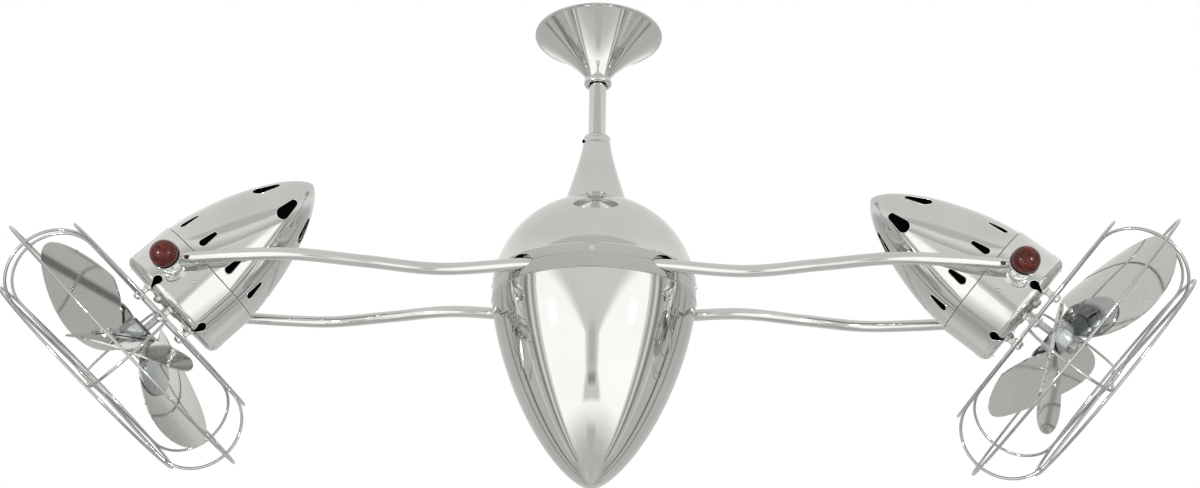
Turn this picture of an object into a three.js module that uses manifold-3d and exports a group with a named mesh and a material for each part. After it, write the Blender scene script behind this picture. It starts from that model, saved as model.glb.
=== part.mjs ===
// Twin head ceiling fan, in millimetres, +Z up.
// The origin is the centre of the canopy on the ceiling plane, so the fan hangs at negative Z.
// X runs from one head to the other and -Y is the side that the fan is normally seen from.
// Each head is drawn along its own axis: s is the distance from the tilt axis towards the blades.

import * as THREE from 'three';
import { mergeVertices } from 'three/addons/utils/BufferGeometryUtils.js';
import Module from 'manifold-3d';

const wasm = await Module();
wasm.setup();

// ---------------------------------------------------------------------------------------------
// Driving dimensions
// ---------------------------------------------------------------------------------------------

// Clearances
const seat = 0.3; // between two pieces that are fixed to each other
const running = 0.5; // between a turning piece and the piece round it
const past = 1; // how far a cutter runs past the face that it cuts through
const tipWalls = 2.5; // walls' thickness at the tips of the bell and the bullets, in walls
const slantWalls = 1.2; // level thickness of a slanted wall, in walls

// Whole fan
const armPlane = -313.8; // height of the arms and of both tilt axes
const pivotReach = 430; // from the centre line out to each tilt axis
const leftTilt = 46.3; // degrees that the left head points below level
const rightTilt = 40.5; // the same for the right head
const leftFanPhase = 69.9; // degrees that the left blades have turned
const rightFanPhase = 114.8; // the same for the right blades

// Hanger bracket, bolt and bushing, inside the canopy
const bracketThickness = 3;
const bracketWidth = 28;
const bracketSlotSpacing = 88.9;
const bracketSlotWidth = 5;
const bracketSlotLength = 12;
const earThickness = 2.6;
const earWidth = 18;
const earDrop = 27; // ear end below the ceiling
const hangerBoltDrop = 17; // bolt axis below the ceiling
const hangerBoltRadius = 3;
const hangerBoltHeadRadius = 5;
const hangerBoltHeadLength = 3.5;
const bushingWall = 2.2;

// Canopy and its collar
const canopyRimRadius = 73;
const canopyFootRadius = 13.4;
const canopyHeight = 57;
const canopyFlare = 1.32; // 1 is a plain cone, more is a trumpet
const canopyWall = 1.2;
const canopyRodClearance = 1.9;
const canopyCollarRadius = 15.6;
const canopyCollarHeight = 7.2;
const collarRounding = 0.7; // share of the collar's wall that its edges are rounded by

// Downrod and the collar over its lower end
const rodRadius = 9.6;
const rodWall = 1.8;
const rodTop = -7;
const neckCollarRadius = 15.4;
const neckCollarHeight = 12;
const neckCollarRounding = 4;

// Upper housing: a trumpet neck that runs into a dome
const neckTop = -141.8;
const neckTopRadius = 15.6;
const neckRootRadius = 35.5;
const neckFlare = 1.2;
const domeRadius = 108;
const domeHeight = 104;
const housingWall = 1.6;
const domeEdge = -302.2;
const rodEngagement = 8.2; // rod end below the neck top

// Band with the arm openings, and the bell below it
const bandRadius = 108;
const bandWall = 3;
const bandEdge = -326.7;
const bandGroove = -313.1;
const bandGrooveDepth = 0.9;
const bandGrooveHalfHeight = 0.7;
const armOpeningClearance = 1.9;
const armOpeningLift = 1.3;
const bellSpring = -322; // height where the bell's curve starts
const bellTip = -525.9;
const bellLipWall = 1.6;

// Spindle, bearings and slip rings on the centre line
const spindleRadius = 8;
const spindlePlugLength = 32;
const spindleShoulderHeight = 5.7;
const spindleThreadRadius = 6;
const spindleEnd = -356;
const upperRaceHeight = 10;
const upperRaceOuterRadius = 16.2;
const lowerRaceHeight = 12;
const lowerRaceOuterRadius = 19;
const raceWall = 3.2;
const raceGap = 0.5;
const spindleNutAcross = 19;
const spindleNutHeight = 7;
const drumRadius = 19;
const drumTop = -240;
const drumHeight = 45;
const drumRings = 3;
const drumRingHeight = 8;
const drumRingDepth = 1.6;
const brushHolderDepth = 12;
const brushHolderWidth = 16;
const brushHolderHeadroom = 2;
const brushFootThickness = 3;

// Carrier casting that holds the arms
const carrierThickness = 19;
const carrierHubRadius = 26;
const carrierSpineHalfWidth = 24;
const carrierSaddleInner = 70;
const carrierSaddleHalfWidth = 74;
const carrierLugHalfWidth = 12;
const carrierClampGap = 0.4; // round the arms where the carrier holds them
const hubAboveRace = 3;

// Arms: polished tubes in one level plane, with an eye at the outer end
const armRadius = 6.35;
const armRootX = 14;
const armRootY = 86;
const armEntryX = 62;
const armEntryY = 80;
const armWaistX = 157;
const armWaistY = 63.2;
const armCrestX = 300;
const armCrestY = 100.7;
const armNeckRadius = 4.2;
const armNeckLength = 17;
const armNeckOverlap = 4;
const armNeckStop = 2; // how far outside the stud's bore the neck ends
const armEndDrop = 2;
const armFallBulge = 4.2; // bulge of the arm between its crest and its end
const armTipBulge = 2.2;

// Tilt pivots and their clamp knobs
const eyeRadius = 11.4;
const eyeSkin = 1; // eye's wall that the arm's neck runs into
const eyeInner = 78; // inner face of the eye, from the head axis
const cupRadius = 15.2;
const cupEnd = 95;
const cupFlareStart = 87;
const cupFlareEnd = 92.5;
const knobCentre = 99.2;
const knobRadius = 14;
const studRadius = 5;
const studInner = 69;
const bossRadius = 12;
const bossDepth = 6; // how far the boss reaches into the can's wall before it is hollowed

// Motor can
const canRadius = 65.5;
const canWall = 1.5;
const canRear = -24.7;
const canFront = 31;
const canShoulder = 9;
const ventCount = 6;
const ventRadius = 5.4;
const ventRoundS = 21;
const ventTailHalfWidth = 1.7;
const ventTailLength = 12;
const ventWaist = 0.45; // share of the tail over which it narrows
const ventRoundSpan = 108; // degrees that the circle runs round each side
const ventTurn = 30; // degrees from the tilt axis to the first vent

// Bullet-shaped rear shell
const bulletRadius = 63.6;
const bulletTip = -171.3;
const bulletWall = 1.5;
const bulletLipLength = 5;
const bulletLipPlay = 1; // between the lip and the can around it
const slotCutDepth = 0.2; // radius from which the slots are cut outwards, in bullet radii
const seamSlotCount = 10;
const seamSlotTurn = 18; // degrees from the tilt axis to the first slot near the seam
const seamSlotStart = -34; // wide end of the slots near the seam
const seamSlotLength = 21;
const seamSlotWidth = 8;
const tipSlotCount = 6;
const tipSlotStart = -115;
const tipSlotLength = 27;
const tipSlotWidth = 13;
const slotTaper = 0.4; // narrow end over wide end

// Motor inside the can
const statorRadius = 52;
const statorFront = 10;
const statorRear = -13;
const statorTeeth = 8;
const statorSlotDepth = 16;
const statorSlotWidth = 5;
const rotorRadius = 23;
const rotorShaftRadius = 4;
const rotorShaftRear = -27;
const rotorCoreShort = 1; // how much shorter the core is than the stator at each end
const shaftPastNut = 2;
const frontPlateRadius = 44;
const frontPlateThickness = 3;
const frontBossRadius = 10;
const frontBossLength = 14;
const frontBossRise = 2;
const motorPostRadius = 3.6;
const motorPostCount = 4;
const motorPostInset = 7;
const motorPostTurn = 45; // degrees
const rearBracketThickness = 3;
const rearBracketWidth = 16;
const rearBossRadius = 9;
const rearBossShort = 3; // how far the boss stops before the shaft's end

// Wire guard
const wireRadius = 1.5;
const wireSides = 4;
const weld = 1; // how far welded wires run into each other
const ribCount = 6;
const ribRearS = 43.4;
const ribFrontS = 138.3;
const ribReach = 166.2; // from the head axis to the middle of a rib's round end
const ribRootRadius = 36;
const rearRingRadius = 128.8;
const frontRingRadius = 127.4;
const badgeRingRadius = 24.5;
const badgeRise = 3;
const badgeThickness = 2;
const eyeletRadius = 6.5;
const eyeletThickness = 3;
const standoffRadius = 4;

// Blades: nearly round petals, set askew on their pitch axes and hollow towards the front
const bladeCount = 3;
const fanPlaneS = 68.4; // where the crown of the petals' curve crosses the axis
const petalCentre = 75.6; // from the fan's axis, measured along the petal
const petalOffset = 17.2; // petal's middle line beside the fan's axis
const petalHalfLength = 74.7;
const petalHalfWidth = 61.8;
const petalRoot = 26; // where the petal is cut, from the fan's axis
const petalSkew = 27.3; // degrees between the petal's length and its pitch axis
const bladeThickness = 1.4;
const bladePitch = 32.5; // degrees
const bladeCamber = 12.1; // rise of the middle over the edges at full width
const hubRadius = 19;
const hubHalfLength = 12;
const hubCentreS = 74;
const hubChamfer = 2;
const ironStart = 12;
const ironEnd = 68;
const ironHalfWidth = 29;
const ironShift = 14; // how far the iron's end lies to the leading side
const ironThickness = 2;
const ironGap = 0.5; // iron's face behind the blade's, where both are curved
const hubNutAcross = 14;
const hubNutHeight = 6;

// Facets round a circle
const wideSides = 28;
const canSides = 30;
const rodSides = 16;
const innerSides = 12;
const hexSides = 6;
const smallSides = 8;
const hoopSides = 24;
const ballSides = 12;
const armSteps = 12;
const ballRows = 7;

// ---------------------------------------------------------------------------------------------
// Materials
// ---------------------------------------------------------------------------------------------

function finish(color, roughness, metalness) {
  return new THREE.MeshStandardMaterial({ color, roughness, metalness });
}

const finishes = {
  chrome: () => finish(0xd2d2cf, 0.08, 1),
  satinSteel: () => finish(0xb9bab8, 0.35, 1),
  zincSteel: () => finish(0x9a9b98, 0.45, 0.9),
  bearingSteel: () => finish(0x8d9093, 0.25, 1),
  laminations: () => finish(0x4b4d50, 0.55, 0.8),
  brass: () => finish(0xb08d4a, 0.3, 1),
  phenolic: () => finish(0x2b2320, 0.6, 0),
  rubber: () => finish(0x1b1b1b, 0.85, 0),
  mahogany: () => finish(0x5b1e16, 0.22, 0),
};

// ---------------------------------------------------------------------------------------------
// Helpers
// ---------------------------------------------------------------------------------------------

const radians = THREE.MathUtils.degToRad;

function toSolid(geometry) {
  const bare = geometry.clone();
  bare.deleteAttribute('normal');
  bare.deleteAttribute('uv');
  const merged = mergeVertices(bare, 1e-4);
  const corners = [];
  for (let i = 0; i < merged.index.count; i += 3) {
    const triple = [merged.index.getX(i), merged.index.getX(i + 1), merged.index.getX(i + 2)];
    if (new Set(triple).size === 3) corners.push(...triple);
  }
  const mesh = { numProp: 3, vertProperties: new Float32Array(merged.attributes.position.array) };
  const solid = new wasm.Manifold(new wasm.Mesh({ ...mesh, triVerts: new Uint32Array(corners) }));
  if (solid.volume() > 0) return solid;
  const flipped = corners.map((_, i) => corners[i - (i % 3) + 2 - (i % 3)]);
  return new wasm.Manifold(new wasm.Mesh({ ...mesh, triVerts: new Uint32Array(flipped) }));
}

function toGeometry(solid) {
  const { vertProperties, triVerts } = solid.getMesh();
  const geometry = new THREE.BufferGeometry();
  geometry.setAttribute('position', new THREE.Float32BufferAttribute(vertProperties, 3));
  geometry.setIndex(new THREE.BufferAttribute(new Uint32Array(triVerts), 1));
  geometry.computeVertexNormals();
  return geometry;
}

function union(solids) {
  return solids.reduce((whole, next) => whole.add(next));
}

function cut(solid, tools) {
  return tools.reduce((rest, tool) => rest.subtract(tool), solid);
}

function part(name, solid, material) {
  const mesh = new THREE.Mesh(toGeometry(solid), material());
  mesh.name = name;
  return mesh;
}

// Turns [radius, z] points about the Z axis. A profile off the axis is closed back to its start.
function revolve(points, sides) {
  const profile = points.map(([r, z]) => new THREE.Vector2(Math.max(r, 0), z));
  const onAxis = profile[0].x === 0 && profile.at(-1).x === 0;
  if (!onAxis) profile.push(profile[0].clone());
  const geometry = new THREE.LatheGeometry(profile, sides);
  geometry.rotateX(Math.PI / 2);
  return toSolid(geometry);
}

// The same about a head's own axis, with s counted towards the blades, which is -Z.
function revolveHead(points, sides) {
  return revolve(points.map(([r, s]) => [r, -s]), sides);
}

function ring(outer, inner, bottom, top, sides) {
  return revolve([[inner, bottom], [outer, bottom], [outer, top], [inner, top]], sides);
}

function disc(radius, bottom, top, sides) {
  return revolve([[0, bottom], [radius, bottom], [radius, top], [0, top]], sides);
}

function block(width, depth, height, x, y, z) {
  const geometry = new THREE.BoxGeometry(width, depth, height);
  geometry.translate(x, y, z);
  return toSolid(geometry);
}

function extrude(shape, depth, curveSegments) {
  const settings = { depth, bevelEnabled: false, curveSegments };
  return toSolid(new THREE.ExtrudeGeometry(shape, settings));
}

function sweep(curve, radius, sides, steps) {
  const shape = new THREE.Shape();
  for (let i = 0; i < sides; i += 1) {
    const angle = (2 * Math.PI * i) / sides;
    const point = [radius * Math.cos(angle), radius * Math.sin(angle)];
    if (i === 0) shape.moveTo(...point);
    else shape.lineTo(...point);
  }
  shape.closePath();
  return toSolid(new THREE.ExtrudeGeometry(shape, { steps, extrudePath: curve, curveSegments: 1 }));
}

function turned(solid, angle) {
  return solid.rotate([0, 0, angle]);
}

function around(solid, count, firstAngle = 0) {
  return Array.from({ length: count }, (_, i) => turned(solid, firstAngle + (360 * i) / count));
}

// A closed hoop of the guard's wire about the head axis.
function wireRing(radius, s, sides) {
  const section = Array.from({ length: wireSides }, (_, i) => {
    const angle = (2 * Math.PI * (i + 0.5)) / wireSides;
    return [radius + wireRadius * Math.cos(angle), s + wireRadius * Math.sin(angle)];
  });
  return revolveHead(section, sides);
}

function sample(count, point) {
  return Array.from({ length: count + 1 }, (_, i) => point(i / count));
}

// Rounded cone that both the bell and the rear shells share: 1 at the open end, 0 at the tip.
function ogive(t) {
  return (1 - t ** 1.5) ** 0.66;
}

// Places drawn circles so that flats clear the round piece inside them.
function clearOf(radius, clearance, sides) {
  return (radius + clearance) / Math.cos(Math.PI / sides);
}

// ---------------------------------------------------------------------------------------------
// Ceiling mount: everything that hangs still from the ceiling
// ---------------------------------------------------------------------------------------------

function canopyRadiusAt(z) {
  const t = Math.min((canopyHeight + z) / canopyHeight, 1);
  return canopyFootRadius + (canopyRimRadius - canopyFootRadius) * t ** canopyFlare;
}

function canopyInnerRadiusAt(z) {
  const step = 0.1;
  const slope = (canopyRadiusAt(z) - canopyRadiusAt(z - step)) / step;
  return canopyRadiusAt(z) - canopyWall * Math.hypot(1, slope);
}

function makeCanopy() {
  const top = -seat;
  const outer = sample(5, (t) => {
    const z = -canopyHeight + t * (canopyHeight + top);
    return [canopyRadiusAt(z), z];
  });
  const inner = sample(5, (t) => {
    const z = top - t * (canopyHeight + top - canopyWall);
    return [canopyInnerRadiusAt(z), z];
  });
  const hole = rodRadius + canopyRodClearance;
  const bore = [[hole, canopyWall - canopyHeight], [hole, -canopyHeight]];
  const reaching = inner.filter(([r]) => r > hole);
  return revolve([...outer, ...reaching, ...bore], wideSides);
}

function makeCanopyCollar() {
  const top = -canopyHeight - seat;
  const bottom = top - canopyCollarHeight;
  const inner = rodRadius + canopyRodClearance;
  const wall = canopyCollarRadius - inner;
  const rounding = Math.min(wall, canopyCollarHeight / 2) * collarRounding;
  const profile = [
    [inner, bottom],
    [canopyCollarRadius - rounding, bottom],
    [canopyCollarRadius, bottom + rounding],
    [canopyCollarRadius, top - rounding],
    [canopyCollarRadius - rounding, top],
    [inner, top],
  ];
  return revolve(profile, rodSides);
}

function makeHangerBracket() {
  const half = canopyInnerRadiusAt(-bracketThickness) - seat;
  const plate = block(2 * half, bracketWidth, bracketThickness, 0, 0, -bracketThickness / 2)
    .intersect(disc(half, -bracketThickness - 1, 1, wideSides));
  const earX = rodRadius + seat + earThickness / 2;
  const ears = [-1, 1].map((side) => {
    const flat = block(earThickness, earWidth, earDrop - 1, side * earX, 0, -(earDrop + 1) / 2);
    return flat;
  });
  const slotHead = disc(bracketSlotWidth / 2, -bracketThickness - 1, 1, smallSides);
  const slots = [-1, 1].flatMap((side) => {
    const middle = (side * bracketSlotSpacing) / 2;
    const reach = (bracketSlotLength - bracketSlotWidth) / 2;
    return [
      slotHead.translate([middle - reach, 0, 0]),
      slotHead.translate([middle + reach, 0, 0]),
      block(2 * reach, bracketSlotWidth, 2 * bracketThickness + 2, middle, 0, 0),
    ];
  });
  return cut(union([plate, ...ears]), [...slots, crossPin(clearOf(hangerBoltRadius, seat, smallSides), 40)]);
}

// A round pin along X at the hanger bolt's height.
function crossPin(radius, length) {
  return disc(radius, -length / 2, length / 2, smallSides)
    .rotate([0, 90, 0])
    .translate([0, 0, -hangerBoltDrop]);
}

function makeHangerBolt() {
  const earOuter = rodRadius + seat + earThickness;
  const shank = crossPin(hangerBoltRadius, 2 * (earOuter + seat) + hangerBoltHeadLength);
  const head = crossPin(hangerBoltHeadRadius, hangerBoltHeadLength);
  const offset = earOuter + seat + hangerBoltHeadLength / 2;
  return union([shank, head.translate([-offset, 0, 0]), head.translate([offset, 0, 0])]);
}

function makeHangerBushing() {
  const inner = clearOf(hangerBoltRadius, seat, smallSides);
  const length = 2 * rodRadius - seat;
  return crossPin(inner + bushingWall, length).subtract(crossPin(inner, length + 2));
}

const rodEnd = neckTop - rodEngagement;
const rodBore = rodRadius - rodWall;

function makeDownrod() {
  const tube = ring(rodRadius, rodBore, rodEnd, rodTop, rodSides);
  const inner = clearOf(hangerBoltRadius, seat, smallSides);
  return tube.subtract(crossPin(clearOf(inner + bushingWall, seat, smallSides), 4 * rodRadius));
}

function makeNeckCollar() {
  const bottom = neckTop + seat;
  const top = bottom + neckCollarHeight;
  const inner = clearOf(rodRadius, seat, rodSides);
  const shoulder = neckCollarRadius - inner - 1;
  const rounding = sample(3, (t) => {
    const angle = (t * Math.PI) / 2;
    const r = neckCollarRadius - shoulder + shoulder * Math.cos(angle);
    return [r, top - neckCollarRounding + neckCollarRounding * Math.sin(angle)];
  });
  return revolve([[inner, bottom], [neckCollarRadius - 1, bottom], [neckCollarRadius, bottom + 1.5],
    ...rounding, [inner, top]], rodSides);
}

const spindleShoulder = rodEnd - seat;
const upperRaceTop = spindleShoulder - spindleShoulderHeight - seat;
const lowerRaceTop = armPlane - carrierThickness / 2 - hubAboveRace + seat;
const lowerRaceBottom = lowerRaceTop - lowerRaceHeight;

function makeSpindle() {
  const plug = rodBore * Math.cos(Math.PI / rodSides) - seat;
  const threadTop = lowerRaceBottom - seat;
  const profile = [
    [0, spindleEnd],
    [spindleThreadRadius, spindleEnd],
    [spindleThreadRadius, threadTop],
    [spindleRadius, threadTop],
    [spindleRadius, spindleShoulder - spindleShoulderHeight],
    [rodRadius, spindleShoulder - spindleShoulderHeight],
    [rodRadius, spindleShoulder],
    [plug, spindleShoulder],
    [plug, spindleShoulder + spindlePlugLength],
    [0, spindleShoulder + spindlePlugLength],
  ];
  return revolve(profile, innerSides);
}

function innerRaceBore() {
  return clearOf(spindleRadius, seat, innerSides);
}

function makeInnerRace(top, height) {
  const bore = innerRaceBore();
  return ring(bore + raceWall, bore, top - height, top, innerSides);
}

function makeOuterRace(top, height, outer) {
  const bore = clearOf(innerRaceBore() + raceWall, raceGap, innerSides);
  return ring(outer, bore, top - height, top, innerSides);
}

function makeSpindleNut() {
  const top = lowerRaceBottom - seat;
  const bore = clearOf(spindleThreadRadius, seat, innerSides);
  const corner = spindleNutAcross / 2 / Math.cos(Math.PI / 6);
  const hexagon = disc(corner, top - spindleNutHeight, top, 6);
  return hexagon.subtract(disc(bore, top - spindleNutHeight - 1, top + 1, innerSides));
}

function makeSlipRingDrum() {
  const bore = innerRaceBore();
  const pitch = drumHeight / drumRings;
  const steps = Array.from({ length: drumRings }, (_, i) => {
    const middle = drumTop - (i + 0.5) * pitch;
    const half = drumRingHeight / 2;
    const sunk = drumRadius - drumRingDepth;
    return [
      [drumRadius, middle + half],
      [sunk, middle + half],
      [sunk, middle - half],
      [drumRadius, middle - half],
    ];
  }).flat();
  const bottom = drumTop - drumHeight;
  const profile = [[bore, drumTop], [drumRadius, drumTop], ...steps, [drumRadius, bottom], [bore, bottom]];
  return revolve(profile, innerSides);
}

// ---------------------------------------------------------------------------------------------
// Turret: the housings, the carrier and the four arms, which turn on the spindle
// ---------------------------------------------------------------------------------------------

// Height where the neck's root meets the dome.
const neckRoot = armPlane + domeHeight * Math.sqrt(1 - (neckRootRadius / domeRadius) ** 2);

function neckRadiusAt(z) {
  const t = (neckTop - z) / (neckTop - neckRoot);
  return neckTopRadius + (neckRootRadius - neckTopRadius) * t ** neckFlare;
}

function domeRadiusAt(z) {
  return domeRadius * Math.sqrt(1 - ((z - armPlane) / domeHeight) ** 2);
}

function makeUpperHousing() {
  const neck = sample(3, (t) => {
    const z = neckTop - t * (neckTop - neckRoot);
    return [neckRadiusAt(z), z];
  });
  const topAngle = Math.acos(neckRootRadius / domeRadius);
  const edgeAngle = Math.asin((domeEdge - armPlane) / domeHeight);
  const domeCurve = (count, shrink) => sample(count, (t) => {
    const angle = topAngle + t * (edgeAngle - topAngle);
    return [(domeRadius - shrink) * Math.cos(angle), armPlane + (domeHeight - shrink) * Math.sin(angle)];
  });
  const outer = [...neck, ...domeCurve(7, 0).slice(1, -1), [domeRadiusAt(domeEdge), domeEdge]];
  const raceSeat = clearOf(upperRaceOuterRadius, seat, rodSides);
  const seatTop = upperRaceTop + seat;
  const seatBottom = upperRaceTop - upperRaceHeight;
  const mouth = clearOf(rodRadius, running, rodSides);
  const inner = [
    [domeRadiusAt(domeEdge) - housingWall, domeEdge],
    ...domeCurve(2, housingWall).reverse().slice(1, -1),
    [neckRootRadius - housingWall, neckRoot],
    [raceSeat, seatBottom],
    [raceSeat, seatTop],
    [mouth, seatTop],
    [mouth, neckTop],
  ];
  return revolve([...outer, ...inner], wideSides);
}

function armOpenings(clearance, lift) {
  return armSides.map(([sideX, sideY]) => {
    const tube = sweep(armCurve(sideX, sideY), armRadius + clearance, smallSides, armSteps);
    return tube.translate([0, 0, lift]);
  });
}

function makeHousingBand() {
  const top = domeEdge - seat;
  const profile = [
    [bandRadius - bandWall, bandEdge],
    [bandRadius, bandEdge],
    [bandRadius, bandGroove - bandGrooveHalfHeight],
    [bandRadius - bandGrooveDepth, bandGroove],
    [bandRadius, bandGroove + bandGrooveHalfHeight],
    [bandRadius, top],
    [bandRadius - bandWall, top],
  ];
  return cut(revolve(profile, wideSides), armOpenings(armOpeningClearance, armOpeningLift));
}

function bellRadiusAt(z) {
  return bandRadius * ogive((bellSpring - z) / (bellSpring - bellTip));
}

function makeLowerCover() {
  const top = bandEdge - seat;
  const outer = sample(7, (t) => {
    const z = top + (bellTip - top) * Math.sin((t * Math.PI) / 2);
    return [t === 1 ? 0 : bellRadiusAt(z), z];
  });
  const innerTip = bellTip + tipWalls * housingWall;
  const inner = sample(3, (t) => {
    const z = innerTip + (top - innerTip) * (1 - Math.cos((t * Math.PI) / 2));
    return [t === 0 ? 0 : bellRadiusAt(z) - slantWalls * housingWall, z];
  });
  const lipOuter = bandRadius - bandWall - seat;
  const lipTop = armPlane - carrierThickness / 2 - seat;
  const lip = [
    [lipOuter - bellLipWall, top],
    [lipOuter - bellLipWall, lipTop],
    [lipOuter, lipTop],
    [lipOuter, top],
  ];
  const bowl = [...inner.slice(0, -1), ...lip, outer[0]];
  return revolve([...bowl, ...outer.slice(1)], wideSides);
}

const armSides = [[-1, -1], [-1, 1], [1, -1], [1, 1]];
const armTipX = pivotReach - eyeRadius - armNeckLength + armNeckOverlap;
const armEndY = (eyeInner + cupEnd) / 2 - armEndDrop;

// Centre line of an arm, from inside the carrier to where the tube is necked down for its eye.
function armCurve(sideX, sideY) {
  const riseX = (armWaistX + armCrestX) / 2;
  const stations = [
    [armRootX, armRootY],
    [armEntryX, armEntryY],
    [armWaistX, armWaistY],
    [riseX, (armWaistY + armCrestY) / 2],
    [armCrestX, armCrestY],
    [(armCrestX + armTipX) / 2, (armCrestY + armEndY) / 2 + armFallBulge],
    [armTipX, armEndY + armTipBulge],
  ];
  const points = stations.map(([x, y]) => new THREE.Vector3(sideX * x, sideY * y, armPlane));
  return new THREE.CatmullRomCurve3(points);
}

// A solid drawn about Z is laid along Y, out from the head axis, at one tilt pivot.
function atPivot(solid, sideX, sideY) {
  return solid.rotate([sideY * -90, 0, 0]).translate([sideX * pivotReach, 0, armPlane]);
}

function makeArm(sideX, sideY) {
  const curve = armCurve(sideX, sideY);
  const tube = sweep(curve, armRadius, smallSides, armSteps);
  const end = curve.getPoint(1);
  const eyeCentre = new THREE.Vector3(sideX * pivotReach, sideY * armEndY, armPlane);
  const run = eyeCentre.clone().sub(end);
  const length = run.length() - studRadius - armNeckStop;
  const neck = new THREE.CylinderGeometry(armNeckRadius, armRadius, length, smallSides);
  neck.translate(0, length / 2, 0);
  const turn = new THREE.Quaternion().setFromUnitVectors(new THREE.Vector3(0, 1, 0), run.normalize());
  neck.applyQuaternion(turn);
  neck.translate(end.x, end.y, end.z);
  const core = atPivot(disc(eyeRadius - eyeSkin, eyeInner - past, cupEnd, ballSides), sideX, sideY);
  return union([tube, toSolid(neck)]).subtract(core).add(atPivot(makeEye(), sideX, sideY));
}

// Eye at an arm's end, flared into a cup that the knob's ball sits in.
function makeEye() {
  const dishRadius = clearOf(knobRadius, seat, ballSides) / Math.cos(Math.PI / (2 * ballRows));
  const bore = clearOf(studRadius, running, ballSides);
  const rim = Math.acos((knobCentre - cupEnd) / dishRadius);
  const floor = Math.asin(bore / dishRadius);
  const dish = sample(2, (t) => {
    const angle = rim + t * (floor - rim);
    return [dishRadius * Math.sin(angle), knobCentre - dishRadius * Math.cos(angle)];
  });
  const outside = [[bore, eyeInner], [eyeRadius, eyeInner], [eyeRadius, cupFlareStart],
    [cupRadius, cupFlareEnd], [cupRadius, cupEnd]];
  return revolve([...outside, ...dish], ballSides);
}

function makeArmCarrier() {
  const reach = bandRadius - bandWall - seat;
  const bottom = armPlane - carrierThickness / 2;
  const top = armPlane + carrierThickness / 2;
  const saddleDepth = reach - carrierSaddleInner;
  const saddles = [-1, 1].map((side) => {
    const middle = side * (carrierSaddleInner + saddleDepth / 2);
    return block(2 * carrierSaddleHalfWidth, saddleDepth, carrierThickness, 0, middle, armPlane);
  });
  const spine = block(2 * carrierSpineHalfWidth, 2 * reach, carrierThickness, 0, 0, armPlane);
  const lugs = block(2 * reach, 2 * carrierLugHalfWidth, carrierThickness, 0, 0, armPlane);
  const rim = reach * Math.cos(Math.PI / wideSides);
  const plate = union([...saddles, spine, lugs]).intersect(disc(rim, bottom, top, wideSides));
  const hub = disc(carrierHubRadius, lowerRaceBottom, top, rodSides);
  const raceBore = clearOf(lowerRaceOuterRadius, seat, rodSides);
  const bores = [
    disc(clearOf(spindleRadius, past, rodSides), lowerRaceBottom - past, top + past, rodSides),
    disc(raceBore, lowerRaceBottom - past, lowerRaceTop + seat, rodSides),
  ];
  return cut(union([plate, hub]), [...bores, ...armOpenings(carrierClampGap, 0)]);
}

function makeBrushHolder() {
  const bottom = armPlane + carrierThickness / 2 + seat;
  const top = drumTop + brushHolderHeadroom;
  const inner = clearOf(drumRadius, running, rodSides);
  const middle = inner + brushHolderDepth / 2;
  const post = block(brushHolderDepth, brushHolderWidth, top - bottom, middle, 0, (top + bottom) / 2);
  const footMiddle = bottom + brushFootThickness / 2;
  const foot = block(brushHolderDepth, 2 * brushHolderWidth, brushFootThickness, middle, 0, footMiddle);
  return union([post, foot]).subtract(disc(inner, bottom - past, top + past, rodSides));
}

// ---------------------------------------------------------------------------------------------
// Heads: drawn about their own axis, with the blades towards -Z
// ---------------------------------------------------------------------------------------------

// Points on an arc, for outlines that are cut through a shell.
function arc(x, y, radius, from, to, count) {
  return sample(count, (t) => {
    const angle = from + t * (to - from);
    return new THREE.Vector2(x + radius * Math.cos(angle), y + radius * Math.sin(angle));
  });
}

// Raises a flat outline, drawn with its x along the head axis, into a cutter that points along X.
function standingCut(outline, inner, outer) {
  const cutter = extrude(new THREE.Shape(outline), outer - inner, 1);
  return cutter.rotate([0, -90, 0]).translate([outer, 0, 0]);
}

// A tapered opening with round ends, cut outwards through a shell. Its wide end is nearer the seam.
function taperedSlot(start, length, width, inner) {
  const wide = width / 2;
  const narrow = wide * slotTaper;
  const wideX = -start + wide;
  const narrowX = -start + length - narrow;
  const touch = Math.acos((wide - narrow) / (narrowX - wideX));
  const outline = [
    ...arc(wideX, 0, wide, touch, 2 * Math.PI - touch, 4),
    ...arc(narrowX, 0, narrow, -touch, touch, 2),
  ];
  return standingCut(outline, inner, bulletRadius + past);
}

// Teardrop opening: round at the back and drawn out to a tail over the can's front shoulder.
function ventCutter() {
  const waistX = -ventRoundS - ventTailLength * ventWaist;
  const tailX = -ventRoundS - ventTailLength;
  const outline = [
    ...arc(-ventRoundS, 0, ventRadius, -radians(ventRoundSpan), radians(ventRoundSpan), 5),
    new THREE.Vector2(waistX, ventTailHalfWidth),
    new THREE.Vector2(tailX, ventTailHalfWidth),
    new THREE.Vector2(tailX, -ventTailHalfWidth),
    new THREE.Vector2(waistX, -ventTailHalfWidth),
  ];
  return standingCut(outline, canRadius - 2 * canShoulder, canRadius + past);
}

function makeMotorCan() {
  const bendCentre = canRadius - canShoulder;
  const shoulder = (radius, front, count) => sample(count, (t) => {
    const angle = (t * Math.PI) / 2;
    const r = bendCentre + (radius - bendCentre) * Math.cos(angle);
    return [r, front + canShoulder * (Math.sin(angle) - 1)];
  });
  const opening = clearOf(frontPlateRadius, seat, canSides);
  const outer = [[canRadius, canRear], ...shoulder(canRadius, canFront, 3), [opening, canFront]];
  const innerShoulder = shoulder(canRadius - canWall, canFront - canWall, 1).reverse();
  const inner = [[opening, canFront - canWall], ...innerShoulder, [canRadius - canWall, canRear]];
  const shell = revolveHead([...outer, ...inner], canSides);
  return cut(shell, around(ventCutter(), ventCount, ventTurn));
}

function bulletRadiusAt(s) {
  return bulletRadius * ogive((canRear - s) / (canRear - bulletTip));
}

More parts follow.
